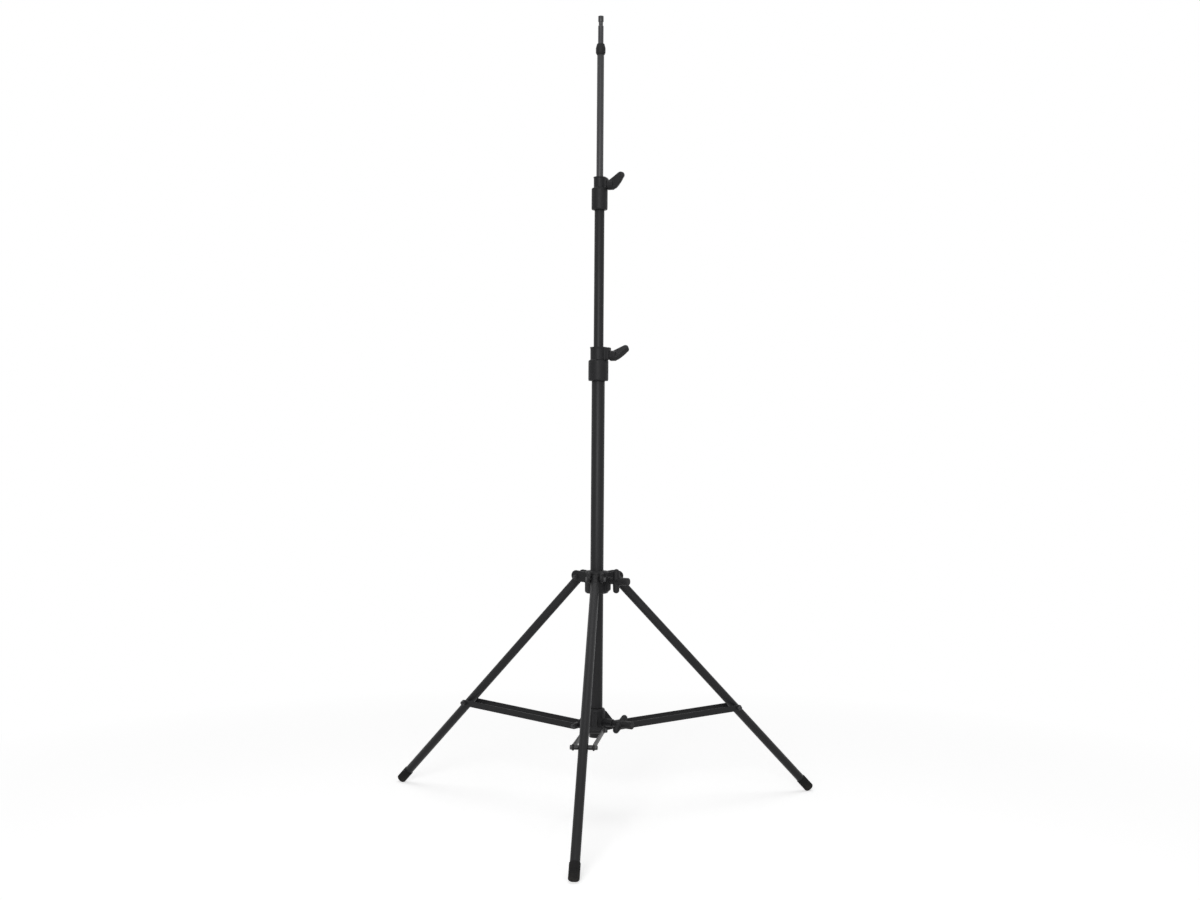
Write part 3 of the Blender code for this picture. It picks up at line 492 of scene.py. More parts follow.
def coated_casting(name, colour, roughness, worn, grain):
    """Die casting under powder coat: fine orange peel, edges rubbed a little."""
    material, tree, shader = new_material(name, colour, metallic=0.0, roughness=roughness, specular=0.16)
    peel = noise(tree, grain, detail=2.0)
    patches = noise(tree, 60)
    wear = edge_wear(tree, start=0.53, end=0.60)
    clouded = blend_colour(tree, spread(tree, patches, 0.0, 1.0), colour, lighter(colour, 1.3))
    tree.links.new(blend_colour(tree, wear, clouded, worn), shader.inputs["Base Color"])
    tree.links.new(spread(tree, patches, roughness - 0.05, roughness + 0.06), shader.inputs["Roughness"])
    bump(tree, shader, peel, distance=0.00010, strength=0.6)
    return material


def painted_strap(name, colour, roughness, worn):
    """Painted steel strap: faint scratches along it."""
    material, tree, shader = new_material(name, colour, metallic=0.10, roughness=roughness, specular=0.18)
    peel = noise(tree, 900, detail=2.0)
    scratches = noise(tree, 700, stretch=(0.02, 1, 1), detail=4.0, roughness=0.6)
    scratched = spread(tree, scratches, 0.0, 0.8, start=0.64, end=0.80)
    wear = edge_wear(tree, start=0.54, end=0.62)
    rubbed = blend_colour(tree, scratched, colour, worn)
    tree.links.new(blend_colour(tree, wear, rubbed, worn), shader.inputs["Base Color"])
    tree.links.new(spread(tree, scratches, roughness - 0.04, roughness + 0.08), shader.inputs["Roughness"])
    bump(tree, shader, peel, distance=0.00005, strength=0.5)
    return material


def turned_steel(name, colour, roughness, worn, shoulder_from, shoulder_to):
    """Turned steel under dark plating: fine rings round it, and a blacker, duller shoulder."""
    material, tree, shader = new_material(name, colour, metallic=0.60, roughness=roughness, specular=0.60)
    rings = noise(tree, 2600, stretch=(0.01, 0.01, 1), detail=2.0)
    patches = noise(tree, 90, stretch=(1, 1, 0.6))
    wear = edge_wear(tree, start=0.52, end=0.58)
    clouded = blend_colour(tree, spread(tree, patches, 0.0, 1.0), colour, lighter(colour, 1.6))
    shoulder = spread(tree, axis_distance(tree), 0.0, 1.0, shoulder_from, shoulder_to)
    blackened = blend_colour(tree, shoulder, clouded, lighter(colour, 0.2))
    tree.links.new(blend_colour(tree, wear, blackened, worn), shader.inputs["Base Color"])
    plated = spread(tree, rings, roughness - 0.06, roughness + 0.08)
    dull = spread(tree, rings, 0.56, 0.66)
    tree.links.new(blend_value(tree, shoulder, plated, dull), shader.inputs["Roughness"])
    bump(tree, shader, rings, distance=0.00003, strength=0.6)
    return material


def black_oxide(name, colour, roughness, worn):
    """Blackened steel hardware, mottled, with bright rubbed corners."""
    material, tree, shader = new_material(name, colour, metallic=0.5, roughness=roughness, specular=0.25)
    mottle = noise(tree, 350, detail=4.0, roughness=0.6)
    wear = edge_wear(tree, start=0.54, end=0.66)
    clouded = blend_colour(tree, spread(tree, mottle, 0.0, 1.0), colour, lighter(colour, 1.6))
    tree.links.new(blend_colour(tree, wear, clouded, worn), shader.inputs["Base Color"])
    tree.links.new(spread(tree, mottle, roughness - 0.08, roughness + 0.10), shader.inputs["Roughness"])
    bump(tree, shader, mottle, distance=0.00004, strength=0.5)
    return material


def moulded_plastic(name, colour, roughness, grain, depth):
    """Moulded plastic: fine spark-eroded grain, slightly polished high spots."""
    material, tree, shader = new_material(name, colour, metallic=0.0, roughness=roughness, specular=0.18)
    fine = noise(tree, grain)
    patches = noise(tree, 80, detail=2.0)
    polished = edge_wear(tree, start=0.52, end=0.62)
    clouded = blend_colour(tree, spread(tree, patches, 0.0, 0.6), colour, lighter(colour, 1.35))
    tree.links.new(clouded, shader.inputs["Base Color"])
    tree.links.new(spread(tree, polished, roughness, roughness - 0.12, 0.0, 1.0), shader.inputs["Roughness"])
    bump(tree, shader, fine, distance=depth, strength=0.6)
    return material


def rubber(name, colour, roughness, dust, dust_height):
    """Matte rubber: soft grain, floor dust towards its sole."""
    material, tree, shader = new_material(name, colour, metallic=0.0, roughness=roughness, specular=0.15)
    grain = noise(tree, 800, detail=4.0, roughness=0.6)
    patches = noise(tree, 120)
    geometry = add_node(tree, "ShaderNodeNewGeometry")
    split = add_node(tree, "ShaderNodeSeparateXYZ")
    tree.links.new(geometry.outputs["Position"], split.inputs["Vector"])
    near_floor = spread(tree, split.outputs["Z"], 1.0, 0.0, 0.0, dust_height)
    dusty = combined(tree, "MULTIPLY", near_floor, spread(tree, patches, 0.1, 0.6))
    tree.links.new(blend_colour(tree, dusty, colour, dust), shader.inputs["Base Color"])
    bump(tree, shader, grain, distance=0.00012, strength=0.7)
    return material


FINISHES = {
    "anodised_black": (anodised, {
        "colour": (0.021, 0.021, 0.022), "roughness": 0.42, "worn": (0.045, 0.045, 0.047), "specular": 0.16}),
    "anodised_grey": (anodised, {
        "colour": (0.040, 0.040, 0.042), "roughness": 0.38, "worn": (0.075, 0.075, 0.078), "specular": 0.45}),
    "cast_black": (coated_casting, {
        "colour": (0.014, 0.014, 0.015), "roughness": 0.48, "worn": (0.045, 0.045, 0.046), "grain": 1400}),
    "strap_black": (painted_strap, {
        "colour": (0.017, 0.017, 0.018), "roughness": 0.45, "worn": (0.050, 0.050, 0.052)}),
    "steel_dark": (turned_steel, {
        "colour": (0.034, 0.034, 0.036), "roughness": 0.35, "worn": (0.110, 0.110, 0.114),
        "shoulder_from": 0.0083, "shoulder_to": 0.0090}),
    "bolt_black": (black_oxide, {
        "colour": (0.020, 0.020, 0.021), "roughness": 0.40, "worn": (0.090, 0.090, 0.092)}),
    "moulded_black": (moulded_plastic, {
        "colour": (0.013, 0.013, 0.014), "roughness": 0.50, "grain": 1700, "depth": 0.00008}),
    "rubber_black": (rubber, {
        "colour": (0.012, 0.012, 0.012), "roughness": 0.82,
        "dust": (0.060, 0.056, 0.050), "dust_height": 0.030}),
    "nylon_grey": (moulded_plastic, {
        "colour": (0.200, 0.200, 0.195), "roughness": 0.55, "grain": 1100, "depth": 0.00004}),
}
MATERIALS = {name: make(name, **values) for name, (make, values) in FINISHES.items()}
for part in frame["record"]["subparts"]:
    for material_slot in nodes[part["node"]].material_slots:
        material_slot.material = MATERIALS[part["material_slot"]]


# Small parts

def washer(face, place):
    top = face + WASHER_LENGTH
    bore = BOLT_RADIUS + FIT / 2
    return turned(rounded([
        (bore, face), (WASHER_RADIUS, face, BROKEN_EDGE), (WASHER_RADIUS, top, BROKEN_EDGE), (bore, top),
    ], steps=2), place, SMALL_SIDES)


def hex_head(face, place):
    """Chamfered hexagon head on its washer, outward along +Z from a face."""
    low = face + WASHER_LENGTH
    high = low + HEAD_LENGTH
    head = turned([
        (0, low), (HEAD_RADIUS, low), (HEAD_RADIUS, high - HEAD_CHAMFER_RISE),
        (HEAD_RADIUS - HEAD_CHAMFER, high), (0, high),
    ], place, HEXAGON)
    return [washer(face, place), head]


def lock_nut(face, place):
    """Hexagon nut with its round locking ring and the end of the thread, outward along +Z from a face."""
    low = face + WASHER_LENGTH
    collar = low + NUT_LENGTH * NUT_HEXAGON_SHARE
    high = low + NUT_LENGTH
    narrow = HEAD_RADIUS - NUT_CHAMFER
    nut = turned([
        (BOLT_RADIUS, low), (narrow, low), (HEAD_RADIUS, low + NUT_CHAMFER_LOW),
        (HEAD_RADIUS, collar - NUT_CHAMFER_HIGH), (narrow, collar), (BOLT_RADIUS, collar),
    ], place, HEXAGON)
    mouth, rim = BOLT_RADIUS * NUT_MOUTH_SHARE, HEAD_RADIUS * NUT_RING_SHARE
    foot, crown = collar - NUT_RING_TUCK, high - NUT_RING_SINK
    ring = turned(rounded([
        (mouth, foot), (rim, foot), (rim, crown, SMALL_FILLET), (mouth, crown),
    ], steps=3), place, SMALL_SIDES)
    thread = [(0, low)]
    height = low
    while height < high - THREAD_PITCH:
        thread += [(BOLT_RADIUS, height), (BOLT_RADIUS - THREAD_DEPTH, height + THREAD_PITCH / 2)]
        height += THREAD_PITCH
    thread += [(BOLT_RADIUS - THREAD_END, high), (0, high)]
    return [washer(face, place), nut, ring, turned(thread, place, SMALL_SIDES)]


def spring_pin(radius, low, high, place):
    """Rolled pin with chamfered ends and a hollow middle."""
    edge = radius * ROLLED_CHAMFER_SHARE
    bore = radius * ROLLED_BORE_SHARE
    return turned([
        (bore, low), (radius - edge, low), (radius, low + edge), (radius, high - edge), (radius - edge, high),
        (bore, high),
    ], place, SMALL_SIDES)


# Column and risers

def tube(name, radius, wall, box_of, base, body, finish):
    """Fine round tube over a CAD tube that stands along the column."""
    low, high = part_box(box_of)
    bottom, top = low.z - base, high.z - base
    bore = radius - wall
    shape = turned(rounded([
        (bore, bottom), (radius, bottom, BROKEN_EDGE), (radius, top, BROKEN_EDGE), (bore, top),
    ], steps=2), sides=TUBE_SIDES)
    piece(name, shape, COLUMN @ shift(z=base), body, finish, (box_of,))


def collar(prefix, sizes, riser, base, body):
    """Clamp collar: rounded sleeve, ring with its lip, screw boss with fillets."""
    place = COLUMN @ shift(z=base)
    bottom = sizes.bottom - base
    shelf = bottom + sizes.sleeve_length
    top = shelf + sizes.ring_length
    sleeve, ring, lip = sizes.sleeve, sizes.ring, sizes.ring + LIP_OUT
    bore = riser + RUN
    seat = sizes.tube + FIT
    low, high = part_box(f"{prefix}_bushing")
    step = high.z - base + FIT
    skin = turned(rounded([
        (seat, bottom), (sleeve - HEM_IN, bottom, SOFT_FILLET), (sleeve, bottom + HEM_RISE, HEM_FILLET),
        (sleeve, shelf - SHELF_DROP, SHELF_FILLET), (ring, shelf, SOFT_FILLET),
        (ring, top - LIP_START, ROUND_FILLET), (lip, top - LIP_LOW, SMALL_FILLET),
        (lip, top - LIP_HIGH, SOFT_FILLET), (bore, top), (bore, step), (seat, step),
    ], steps=4), sides=CAST_SIDES)

    boss_low = max(sizes.screw - base - COLLAR_BOSS_DROP, step + FIT)
    boss_high = top - COLLAR_BOSS_SINK
    inside = (bore + ring) / 2
    outline = [
        (inside, boss_low), (sizes.reach, boss_low), (sizes.reach, boss_high - sizes.slope),
        (sizes.reach - sizes.slope, boss_high), (inside, boss_high),
    ]
    boss = plate([outline], -COLLAR_BOSS_HALF, COLLAR_BOSS_HALF, about(SCREW_AZIMUTH), COLLAR_BOSS_EDGE, 5)
    moulded(f"{prefix}_collar_casting", [skin, boss], place, body, "cast_black", (f"{prefix}_collar",),
            *COLLAR_SKIN)

    low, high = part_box(f"{prefix}_collar_pin")
    centre = COLUMN.translation.y
    pin_place = shift(z=bottom + COLLAR_PIN_RISE) @ ALONG_Y
    pin = spring_pin(COLLAR_PIN_RADIUS, low.y - centre, high.y - centre, pin_place)
    piece(f"{prefix}_spring_pin", pin, place, body, "bolt_black", (f"{prefix}_collar_pin",))


def lever(prefix, sizes, turn, body):
    """Winged clamping lever, melted from its hub and its arm."""
    start = sizes.reach + LEVER_GAP
    end = start + LEVER_HUB_LENGTH
    place = COLUMN @ about(SCREW_AZIMUTH) @ shift(z=sizes.screw) @ spin_x(turn)
    hub = turned(rounded([
        (0, start), (LEVER_HUB_RADIUS, start, SOFT_FILLET), (LEVER_HUB_RADIUS, end, LEVER_FILLET), (0, end),
    ], steps=5), ALONG_X, GRIP_SIDES)
    tip = (start + LEVER_TIP_OUT, LEVER_TIP_UP)
    lean = math.degrees(math.atan2(LEVER_TIP_UP, LEVER_TIP_OUT - LEVER_HUB_LENGTH / 2))
    foot = LEVER_HUB_RADIUS - LEVER_FOOT
    outline = [(start + LEVER_INSET, -foot), (end, -foot), (end + LEVER_HEEL_OUT, LEVER_HEEL_UP - foot)]
    rim = arc(tip, LEVER_TIP_RADIUS, lean - 90, lean + 90, steps=18)
    heel, shoulder = Vector(outline[-1]), Vector(rim[0])
    outward = Vector((shoulder.y - heel.y, heel.x - shoulder.x)).normalized()
    for step in range(1, BELLY_STEPS):
        share = step / BELLY_STEPS
        swell = 4 * share * (1 - share) * LEVER_BELLY
        outline.append(tuple(heel.lerp(shoulder, share) + outward * swell))
    outline += rim + [(start + LEVER_INSET, foot)]
    arm = plate([outline], -LEVER_THICKNESS / 2, LEVER_THICKNESS / 2, edge=LEVER_EDGE, segments=5)
    moulded(f"{prefix}_lever_wing", [hub, arm], place, body, "moulded_black", (f"{prefix}_lever_handle",),
            *GRIP_SKIN)


def t_knob(prefix, sizes, body):
    """T-bar with a waisted neck and swollen, rounded ends."""
    place = COLUMN @ about(KNOB_AZIMUTH) @ shift(z=sizes.height) @ spin_x(sizes.turn)
    start = sizes.reach + KNOB_GAP
    bar = sizes.bar
    lower, upper = (0, -KNOB_HALF + KNOB_TIP_RADIUS), (0, KNOB_HALF - KNOB_TIP_RADIUS)
    across = [(0, -KNOB_HALF)] + arc(lower, KNOB_TIP_RADIUS, -KNOB_TIP_END, -KNOB_TIP_START, KNOB_TIP_STEPS)
    across += [(KNOB_BAR_RADIUS, 0)]
    across += arc(upper, KNOB_TIP_RADIUS, KNOB_TIP_START, KNOB_TIP_END, KNOB_TIP_STEPS) + [(0, KNOB_HALF)]
    neck = turned(rounded([
        (0, start), (KNOB_NECK_RADIUS, start, SOFT_FILLET), (KNOB_NECK_RADIUS, bar, KNOB_NECK_FILLET),
        (KNOB_CROWN_RADIUS, bar + KNOB_BAR_RADIUS, KNOB_SWELL_FILLET),
        (KNOB_CROWN_RADIUS, bar + KNOB_CROWN, KNOB_CROWN_FILLET), (0, bar + KNOB_CROWN),
    ], steps=5), ALONG_X, GRIP_SIDES)
    grip = [turned(across, shift(x=bar), GRIP_SIDES), neck]
    moulded(f"{prefix}_grip", grip, place, body, "moulded_black", (f"{prefix}_bar",), *GRIP_SKIN)


def build_column():
    tube("base_tube_skin", BASE_RADIUS, BASE_WALL, "base_tube", 0.0, "column", "anodised_black")
    collar("base", BASE_COLLAR, MID_RADIUS, 0.0, "column")
    lever("base", BASE_COLLAR, BASE_LEVER_TURN, "base_lever")
    low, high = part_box("column_plug")
    bore = BASE_RADIUS - BASE_WALL - FIT
    rim = low.z + CAP_RIM
    plug = turned(rounded([
        (0, low.z), (BASE_RADIUS, low.z, CAP_FILLET), (BASE_RADIUS, rim), (bore, rim),
        (bore, high.z, SMALL_FILLET), (0, high.z),
    ], steps=4), sides=CAST_SIDES)
    piece("column_end_cap", plug, COLUMN, "column", "moulded_black", ("column_plug",))


def build_risers():
    tube("mid_tube_skin", MID_RADIUS, MID_WALL, "mid_tube", MID_FRAME_Z, "mid_riser", "anodised_black")
    collar("mid", MID_COLLAR, TOP_RADIUS, MID_FRAME_Z, "mid_riser")
    lever("mid", MID_COLLAR, MID_LEVER_TURN, "mid_lever")
    tube("top_tube_skin", TOP_RADIUS, TOP_WALL, "top_tube", TOP_FRAME_Z, "top_riser", "anodised_grey")
    build_pin()


def build_pin():
    """Spigot in the top tube, shoulder, and the pin with its waist."""
    place = COLUMN @ shift(z=TOP_FRAME_Z)
    low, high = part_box("baby_pin")
    end = low.z - TOP_FRAME_Z
    seat = PIN_SEAT_Z - TOP_FRAME_Z
    shoulder = PIN_SHOULDER_Z - TOP_FRAME_Z
    head = high.z - TOP_FRAME_Z
    waist_top = head - PIN_HEAD
    waist_bottom = waist_top - PIN_WAIST
    spigot = TOP_RADIUS - TOP_WALL - FIT
    pin = turned(rounded([
        (0, end), (spigot, end, SPIGOT_FILLET), (spigot, seat), (SHOULDER_SEAT_RADIUS, seat, FINE_FILLET),
        (SHOULDER_RADIUS, seat + SHOULDER_RISE, ROUND_FILLET),
        (SHOULDER_RADIUS, shoulder - SHOULDER_DROP, SHOULDER_FILLET),
        (SHOULDER_NECK_RADIUS, shoulder, SMALL_FILLET),
        (PIN_RADIUS, shoulder, PIN_EDGE), (PIN_RADIUS, waist_bottom, PIN_EDGE),
        (PIN_WAIST_RADIUS, waist_bottom + PIN_WAIST_RAMP, SMALL_FILLET),
        (PIN_WAIST_RADIUS, waist_top - PIN_WAIST_RAMP, SMALL_FILLET), (PIN_RADIUS, waist_top, PIN_EDGE),
        (PIN_RADIUS, head - PIN_TIP, BROKEN_EDGE), (PIN_TIP_RADIUS, head, BROKEN_EDGE), (0, head),
    ], steps=4), sides=CAST_SIDES)
    piece("stand_pin", pin, place, "top_riser", "steel_dark", ("baby_pin",))
    low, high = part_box("spigot_roll_pin")
    centre = (low + high) / 2
    half = (high.y - low.y) / 2
    roll = spring_pin(ROLL_PIN_RADIUS, -half, half, shift(z=centre.z - TOP_FRAME_Z) @ ALONG_Y)
    piece("top_roll_pin", roll, place, "top_riser", "steel_dark", ("spigot_roll_pin",))


# Castings

def screw_boss(inside, knob, base):
    """Round boss that takes a T-knob's screw."""
    place = about(KNOB_AZIMUTH) @ shift(z=knob.height - base) @ ALONG_X
    return rod(BOSS_RADIUS, inside, knob.reach, place, SMALL_FILLET, BOSS_SIDES)


def build_lower_casting():
    bore = BASE_RADIUS + FIT
    inside = (bore + CAST_RADIUS) / 2
    shapes = [turned(rounded([
        (bore, CAST_BOTTOM), (CAST_RADIUS - CAST_HEM, CAST_BOTTOM, SMALL_FILLET),
        (CAST_RADIUS, CAST_BOTTOM + CAST_FILLET, CAST_FILLET),
        (CAST_RADIUS, CAST_TOP - CAST_FILLET, CAST_FILLET),
        (CAST_RADIUS - CAST_TOP_HEM, CAST_TOP, SMALL_FILLET), (bore, CAST_TOP),
    ], steps=5))]
    web_start = CAST_RADIUS + WEB_OUT
    web = [(inside, CAST_BOTTOM + FIT), (web_start, CAST_BOTTOM + FIT)]
    web += arc((CAST_PIVOT_R, CAST_PIVOT_Z), EYE_RADIUS * WEB_EYE_SHARE, -90, 60, steps=12)
    web += [(web_start, CAST_TOP - WEB_DROP), (inside, CAST_TOP - CAST_FILLET)]
    eye_bore = BOLT_RADIUS + RUN
    ring = rounded([
        (eye_bore, -EYE_HALF), (EYE_RADIUS, -EYE_HALF, EYE_FILLET), (EYE_RADIUS, EYE_HALF, EYE_FILLET),
        (eye_bore, EYE_HALF),
    ], steps=3)
    for azimuth in AZIMUTHS:
        shapes.append(plate([web], -WEB_HALF, WEB_HALF, about(azimuth), SMALL_FILLET))
        eye = about(azimuth) @ shift(x=CAST_PIVOT_R, z=CAST_PIVOT_Z) @ ALONG_Y
        shapes.append(turned(ring, eye, BOSS_SIDES))
    shapes.append(screw_boss(inside, LOWER_KNOB, 0.0))
    moulded("brace_casting", shapes, COLUMN, "column", "cast_black", ("lower_casting",), *CAST_SKIN)
    t_knob("lower_knob", LOWER_KNOB, "lower_knob")


def build_hub():
    """Barrel with three forks, and a screw boss on a gusset."""
    place = COLUMN @ shift(z=HUB_PIVOT_Z)
    bottom, top = HUB_BOTTOM - HUB_PIVOT_Z, HUB_TOP - HUB_PIVOT_Z
    inside = (HUB_BORE + HUB_RADIUS) / 2
    shapes = [turned(rounded([
        (HUB_BORE, bottom), (HUB_RADIUS, bottom, HUB_HEM), (HUB_RADIUS, top, HUB_HEM), (HUB_BORE, top),
    ], steps=5))]
    ear = [(inside, -EAR_DROP), (HUB_RADIUS, -EAR_DROP)]
    ear += arc((HUB_PIVOT_R, EAR_LIFT), EAR_RADIUS, -EAR_ARC, EAR_ARC, steps=24)
    ear += [(HUB_RADIUS, top - HUB_SINK), (inside, top - HUB_SINK)]
    for azimuth in AZIMUTHS:
        for side in (1, -1):
            inner, outer = sorted((side * EAR_LOW, side * EAR_HIGH))
            shapes.append(plate([ear], inner, outer, about(azimuth), SOFT_FILLET))
    shapes.append(screw_boss(inside, HUB_KNOB, HUB_PIVOT_Z))
    screw_z = HUB_KNOB.height - HUB_PIVOT_Z
    gusset_end = HUB_KNOB.reach - GUSSET_BACK
    gusset = [
        (inside, bottom + HUB_HEM), (HUB_RADIUS - GUSSET_IN, bottom + GUSSET_RISE),
        (gusset_end, bottom + GUSSET_END_RISE), (gusset_end, screw_z), (inside, screw_z),
    ]
    shapes.append(plate([gusset], -GUSSET_HALF, GUSSET_HALF, about(KNOB_AZIMUTH), SMALL_FILLET))
    moulded("leg_hub", shapes, place, "hub", "cast_black", ("hub_casting",), *CAST_SKIN)
    face = EAR_HIGH + FIT
    for number, azimuth in enumerate(AZIMUTHS, 1):
        axis = about(azimuth) @ shift(x=HUB_PIVOT_R) @ ALONG_Y
        bolt = lock_nut(face, axis) + hex_head(face, axis @ spin_x(180))
        bolt.append(rod(BOLT_RADIUS, -face, face, axis))
        piece(f"leg_{number}_pivot_bolt", bolt, place, "hub", "bolt_black", (f"hub_pivot_bolt_{number}",))
    t_knob("hub_knob", HUB_KNOB, "hub_knob")


# Legs and braces

def build_leg(number, azimuth):
    """Leg frame: origin on the pivot, Y along its bolt, -Z down the leg."""
    body = f"leg_{number}"
    tilt = Matrix.Rotation(math.radians(-SPREAD), 4, "Y")
    place = COLUMN @ about(azimuth) @ shift(x=HUB_PIVOT_R, z=HUB_PIVOT_Z) @ tilt
    bore = LEG_RADIUS - LEG_WALL
    sole = -LEG_LENGTH
    end = sole + FOOT_SOLE + FIT
    skin = turned(rounded([
        (bore, end), (LEG_RADIUS, end, BROKEN_EDGE), (LEG_RADIUS, -LEG_TUBE_START, BROKEN_EDGE),
        (bore, -LEG_TUBE_START),
    ], steps=2), sides=TUBE_SIDES)
    piece(f"{body}_tube_skin", skin, place, body, "anodised_black", (f"{body}_tube",))

    seat = -LEG_TUBE_START + FIT
    plug_end = seat - PLUG_LENGTH
    waist, ledge, neck = KNUCKLE_HEIGHTS
    dome = arc((0, 0), LEG_RADIUS - KNUCKLE_FLUSH, -2, 88, steps=16) + [(0, LEG_RADIUS)]
    fitting = turned(rounded([
        (0, plug_end), (bore - FIT, plug_end, SMALL_FILLET), (bore - FIT, seat),
        (LEG_RADIUS, seat, PLUG_FILLET), (LEG_RADIUS, waist), (LEG_RADIUS - KNUCKLE_GROOVE, ledge),
        (LEG_RADIUS - KNUCKLE_GROOVE, neck), *dome,
    ], steps=3), sides=CAST_SIDES)
    piece(f"{body}_knuckle", fitting, place, body, "cast_black", (f"{body}_fitting",))

    pin = shift(z=-PIN_ALONG) @ ALONG_Y
    inner, outer = LEG_RADIUS + FIT, STRAP_INNER - RUN
    sleeve_bore = BOLT_RADIUS * SLEEVE_BORE_SHARE
    shapes = [rod(BOLT_RADIUS, -outer, outer, pin)]
    for low, high in ((inner, outer), (-outer, -inner)):
        shapes.append(turned(rounded([
            (sleeve_bore, low), (SLEEVE_RADIUS, low, FINE_FILLET), (SLEEVE_RADIUS, high, FINE_FILLET),
            (sleeve_bore, high),
        ], steps=3), pin, SMALL_SIDES))
    piece(f"{body}_pin_sleeves", shapes, place, body, "bolt_black", (f"{body}_brace_pin",))
    build_boot(body, sole, place)


def build_boot(body, sole, place):
    """Grooved rubber boot, cut flat by the floor."""
    rim, bed = sole + FOOT_LENGTH, sole + FOOT_SOLE
    shallow = FOOT_RADIUS - GROOVE_DEPTH
    wall = [(0, sole), (FOOT_RADIUS, sole, ROUND_FILLET)]
    for groove in GROOVES:
        start = sole + groove
        wall += [(FOOT_RADIUS, start), (shallow, start + GROOVE_DEPTH), (shallow, start + GROOVE_FLAT),
                 (FOOT_RADIUS, start + GROOVE_WIDTH)]
    wall += [(FOOT_RADIUS, rim, FOOT_RIM_FILLET), (LEG_RADIUS + FIT, rim), (LEG_RADIUS + FIT, bed), (0, bed)]
    foot = turned(rounded(wall, steps=4), sides=CAST_SIDES)
    foot.transform(place)
    cut = bmesh.ops.bisect_plane(foot, geom=foot.verts[:] + foot.edges[:] + foot.faces[:], plane_co=(0, 0, 0),
                                 plane_no=(0, 0, -1), clear_outer=True)
    rim_edges = [item for item in cut["geom_cut"] if isinstance(item, bmesh.types.BMEdge)]
    bmesh.ops.edgeloop_fill(foot, edges=rim_edges)
    piece(f"{body}_boot", foot, Matrix(), body, "rubber_black", (f"{body}_foot",))


def build_brace(number, azimuth):
    """Brace frame: origin on the casting's pivot, X along the straps, Y along the bolts."""
    body = f"brace_{number}"
    spread_angle = math.radians(SPREAD)
    out = HUB_PIVOT_R + PIN_ALONG * math.sin(spread_angle) - CAST_PIVOT_R
    up = HUB_PIVOT_Z - PIN_ALONG * math.cos(spread_angle) - CAST_PIVOT_Z
    length = math.hypot(out, up)
    tilt = Matrix.Rotation(-math.atan2(up, out), 4, "Y")
    place = COLUMN @ about(azimuth) @ shift(x=CAST_PIVOT_R, z=CAST_PIVOT_Z) @ tilt
    outline = arc((0, 0), STRAP_HALF, 90, 270, steps=24) + arc((length, 0), STRAP_HALF, -90, 90, steps=24)
    holes = [arc((x, 0), BOLT_RADIUS + FIT, 0, 345, steps=23) for x in (0, length)]
    outer = STRAP_INNER + STRAP_THICKNESS
    for side, low, high in (("left", STRAP_INNER, outer), ("right", -outer, -STRAP_INNER)):
        strap = plate([outline, *holes], low, high, edge=FINE_FILLET, segments=2)
        piece(f"{body}_{side}_bar", strap, place, body, "strap_black", (f"{body}_strap_{side}",))
    face = outer + FIT
    lower = lock_nut(face, ALONG_Y) + hex_head(face, ALONG_Y @ spin_x(180))
    lower.append(rod(BOLT_RADIUS, -face, face, ALONG_Y))
    piece(f"{body}_lower_screw", lower, place, body, "bolt_black", (f"{body}_lower_bolt",))
    end = shift(x=length) @ ALONG_Y
    nut = lock_nut(face, end) + [rod(BOLT_RADIUS, STRAP_INNER, face + WASHER_LENGTH, end)]
    piece(f"{body}_upper_lock_nut", nut, place, body, "bolt_black", (f"{body}_upper_nut",))
    far = end @ spin_x(180)
    head = hex_head(face, far) + [rod(BOLT_RADIUS, STRAP_INNER, face + WASHER_LENGTH, far)]
    piece(f"{body}_upper_hex_head", head, place, body, "bolt_black", (f"{body}_upper_head",))


# Stage

def build_camera():
    data = bpy.data.cameras.new("camera")
    data.sensor_width = SENSOR_WIDTH
    data.sensor_fit = "HORIZONTAL"
    data.lens = LENS
    data.clip_end = CAMERA_REACH
    camera = add_object("camera", data)
    level = Matrix.Rotation(math.radians(90), 4, "X")
    roll = Matrix.Rotation(math.radians(CAMERA_ROLL), 4, "Z")
    camera.matrix_world = COLUMN @ about(CAMERA_TURN) @ shift(*CAMERA_PLACE) @ level @ roll
    bpy.context.scene.camera = camera


def area_light(name, location, target, size, power):
    data = bpy.data.lights.new(name, "AREA")
    data.shape = "RECTANGLE"
    data.size, data.size_y = size
    data.energy = power
    light = add_object(name, data)
    light.location = location
    light.rotation_euler = (Vector(target) - Vector(location)).to_track_quat("-Z", "Y").to_euler()


def white_to_eye(tree):
    """1 for rays that see the surface directly, in a reflection or through glass."""
    path = add_node(tree, "ShaderNodeLightPath")
    seen = combined(tree, "MAXIMUM", path.outputs["Is Camera Ray"], path.outputs["Is Glossy Ray"])
    return combined(tree, "MAXIMUM", seen, path.outputs["Is Transmission Ray"])


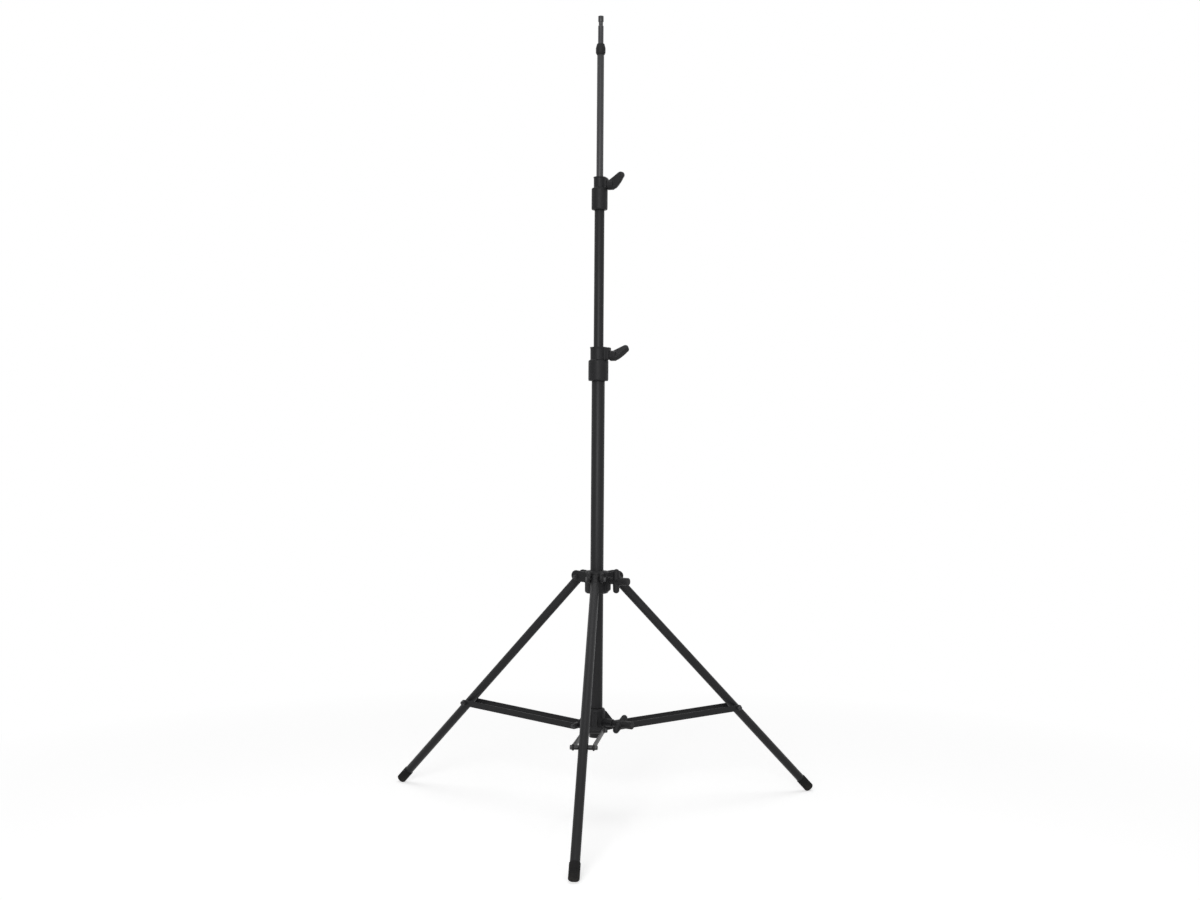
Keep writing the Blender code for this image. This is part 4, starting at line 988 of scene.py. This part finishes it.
def build_world():
    """White behind the stand, and a dim light from all round."""
    world = bpy.data.worlds.new("studio")
    world.use_nodes = True
    bpy.context.scene.world = world
    tree = world.node_tree
    background = tree.nodes["Background"]
    background.inputs["Color"].default_value = (1, 1, 1, 1)
    strength = spread(tree, white_to_eye(tree), WORLD_LIGHT, 1.0, 0.0, 1.0)
    tree.links.new(strength, background.inputs["Strength"])


def build_floor():
    """White floor: lit and shadowed near the feet, pure white to the eye further out."""
    bm = bmesh.new()
    bmesh.ops.create_circle(bm, cap_ends=True, segments=FLOOR_SIDES, radius=FLOOR_RADIUS)
    mesh = bpy.data.meshes.new("floor")
    bm.to_mesh(mesh)
    bm.free()
    floor = add_object("floor", mesh)
    floor.location = COLUMN.translation
    material, tree, shader = new_material("floor_white", FLOOR_COLOUR, metallic=0.0, roughness=0.9,
                                          specular=0.1)
    tree.links.new(spread(tree, noise(tree, 30), 0.86, 0.92), shader.inputs["Roughness"])
    seen = white_to_eye(tree)
    glow = add_node(tree, "ShaderNodeEmission")
    tree.links.new(spread(tree, seen, 0.0, FLOOR_GLOW, 0.0, 1.0), glow.inputs["Strength"])
    lit = add_node(tree, "ShaderNodeAddShader")
    tree.links.new(shader.outputs["BSDF"], lit.inputs[0])
    tree.links.new(glow.outputs["Emission"], lit.inputs[1])
    white = add_node(tree, "ShaderNodeEmission")
    white.inputs["Color"].default_value = (1, 1, 1, 1)
    white.inputs["Strength"].default_value = 1.0
    fade = spread(tree, axis_distance(tree), 0.0, 1.0, *FLOOR_FADE)
    mix = add_node(tree, "ShaderNodeMixShader")
    tree.links.new(combined(tree, "MULTIPLY", fade, seen), mix.inputs["Fac"])
    tree.links.new(lit.outputs["Shader"], mix.inputs[1])
    tree.links.new(white.outputs["Emission"], mix.inputs[2])
    tree.links.new(mix.outputs["Shader"], tree.nodes["Material Output"].inputs["Surface"])
    mesh.materials.append(material)


build_column()
build_risers()
build_lower_casting()
build_hub()
for leg_number, leg_azimuth in enumerate(AZIMUTHS, 1):
    build_leg(leg_number, leg_azimuth)
    build_brace(leg_number, leg_azimuth)

build_camera()
build_world()
build_floor()
for light in LIGHTS:
    area_light(*light)
bpy.context.scene.view_settings.view_transform = "Standard"

bpy.context.view_layer.update()
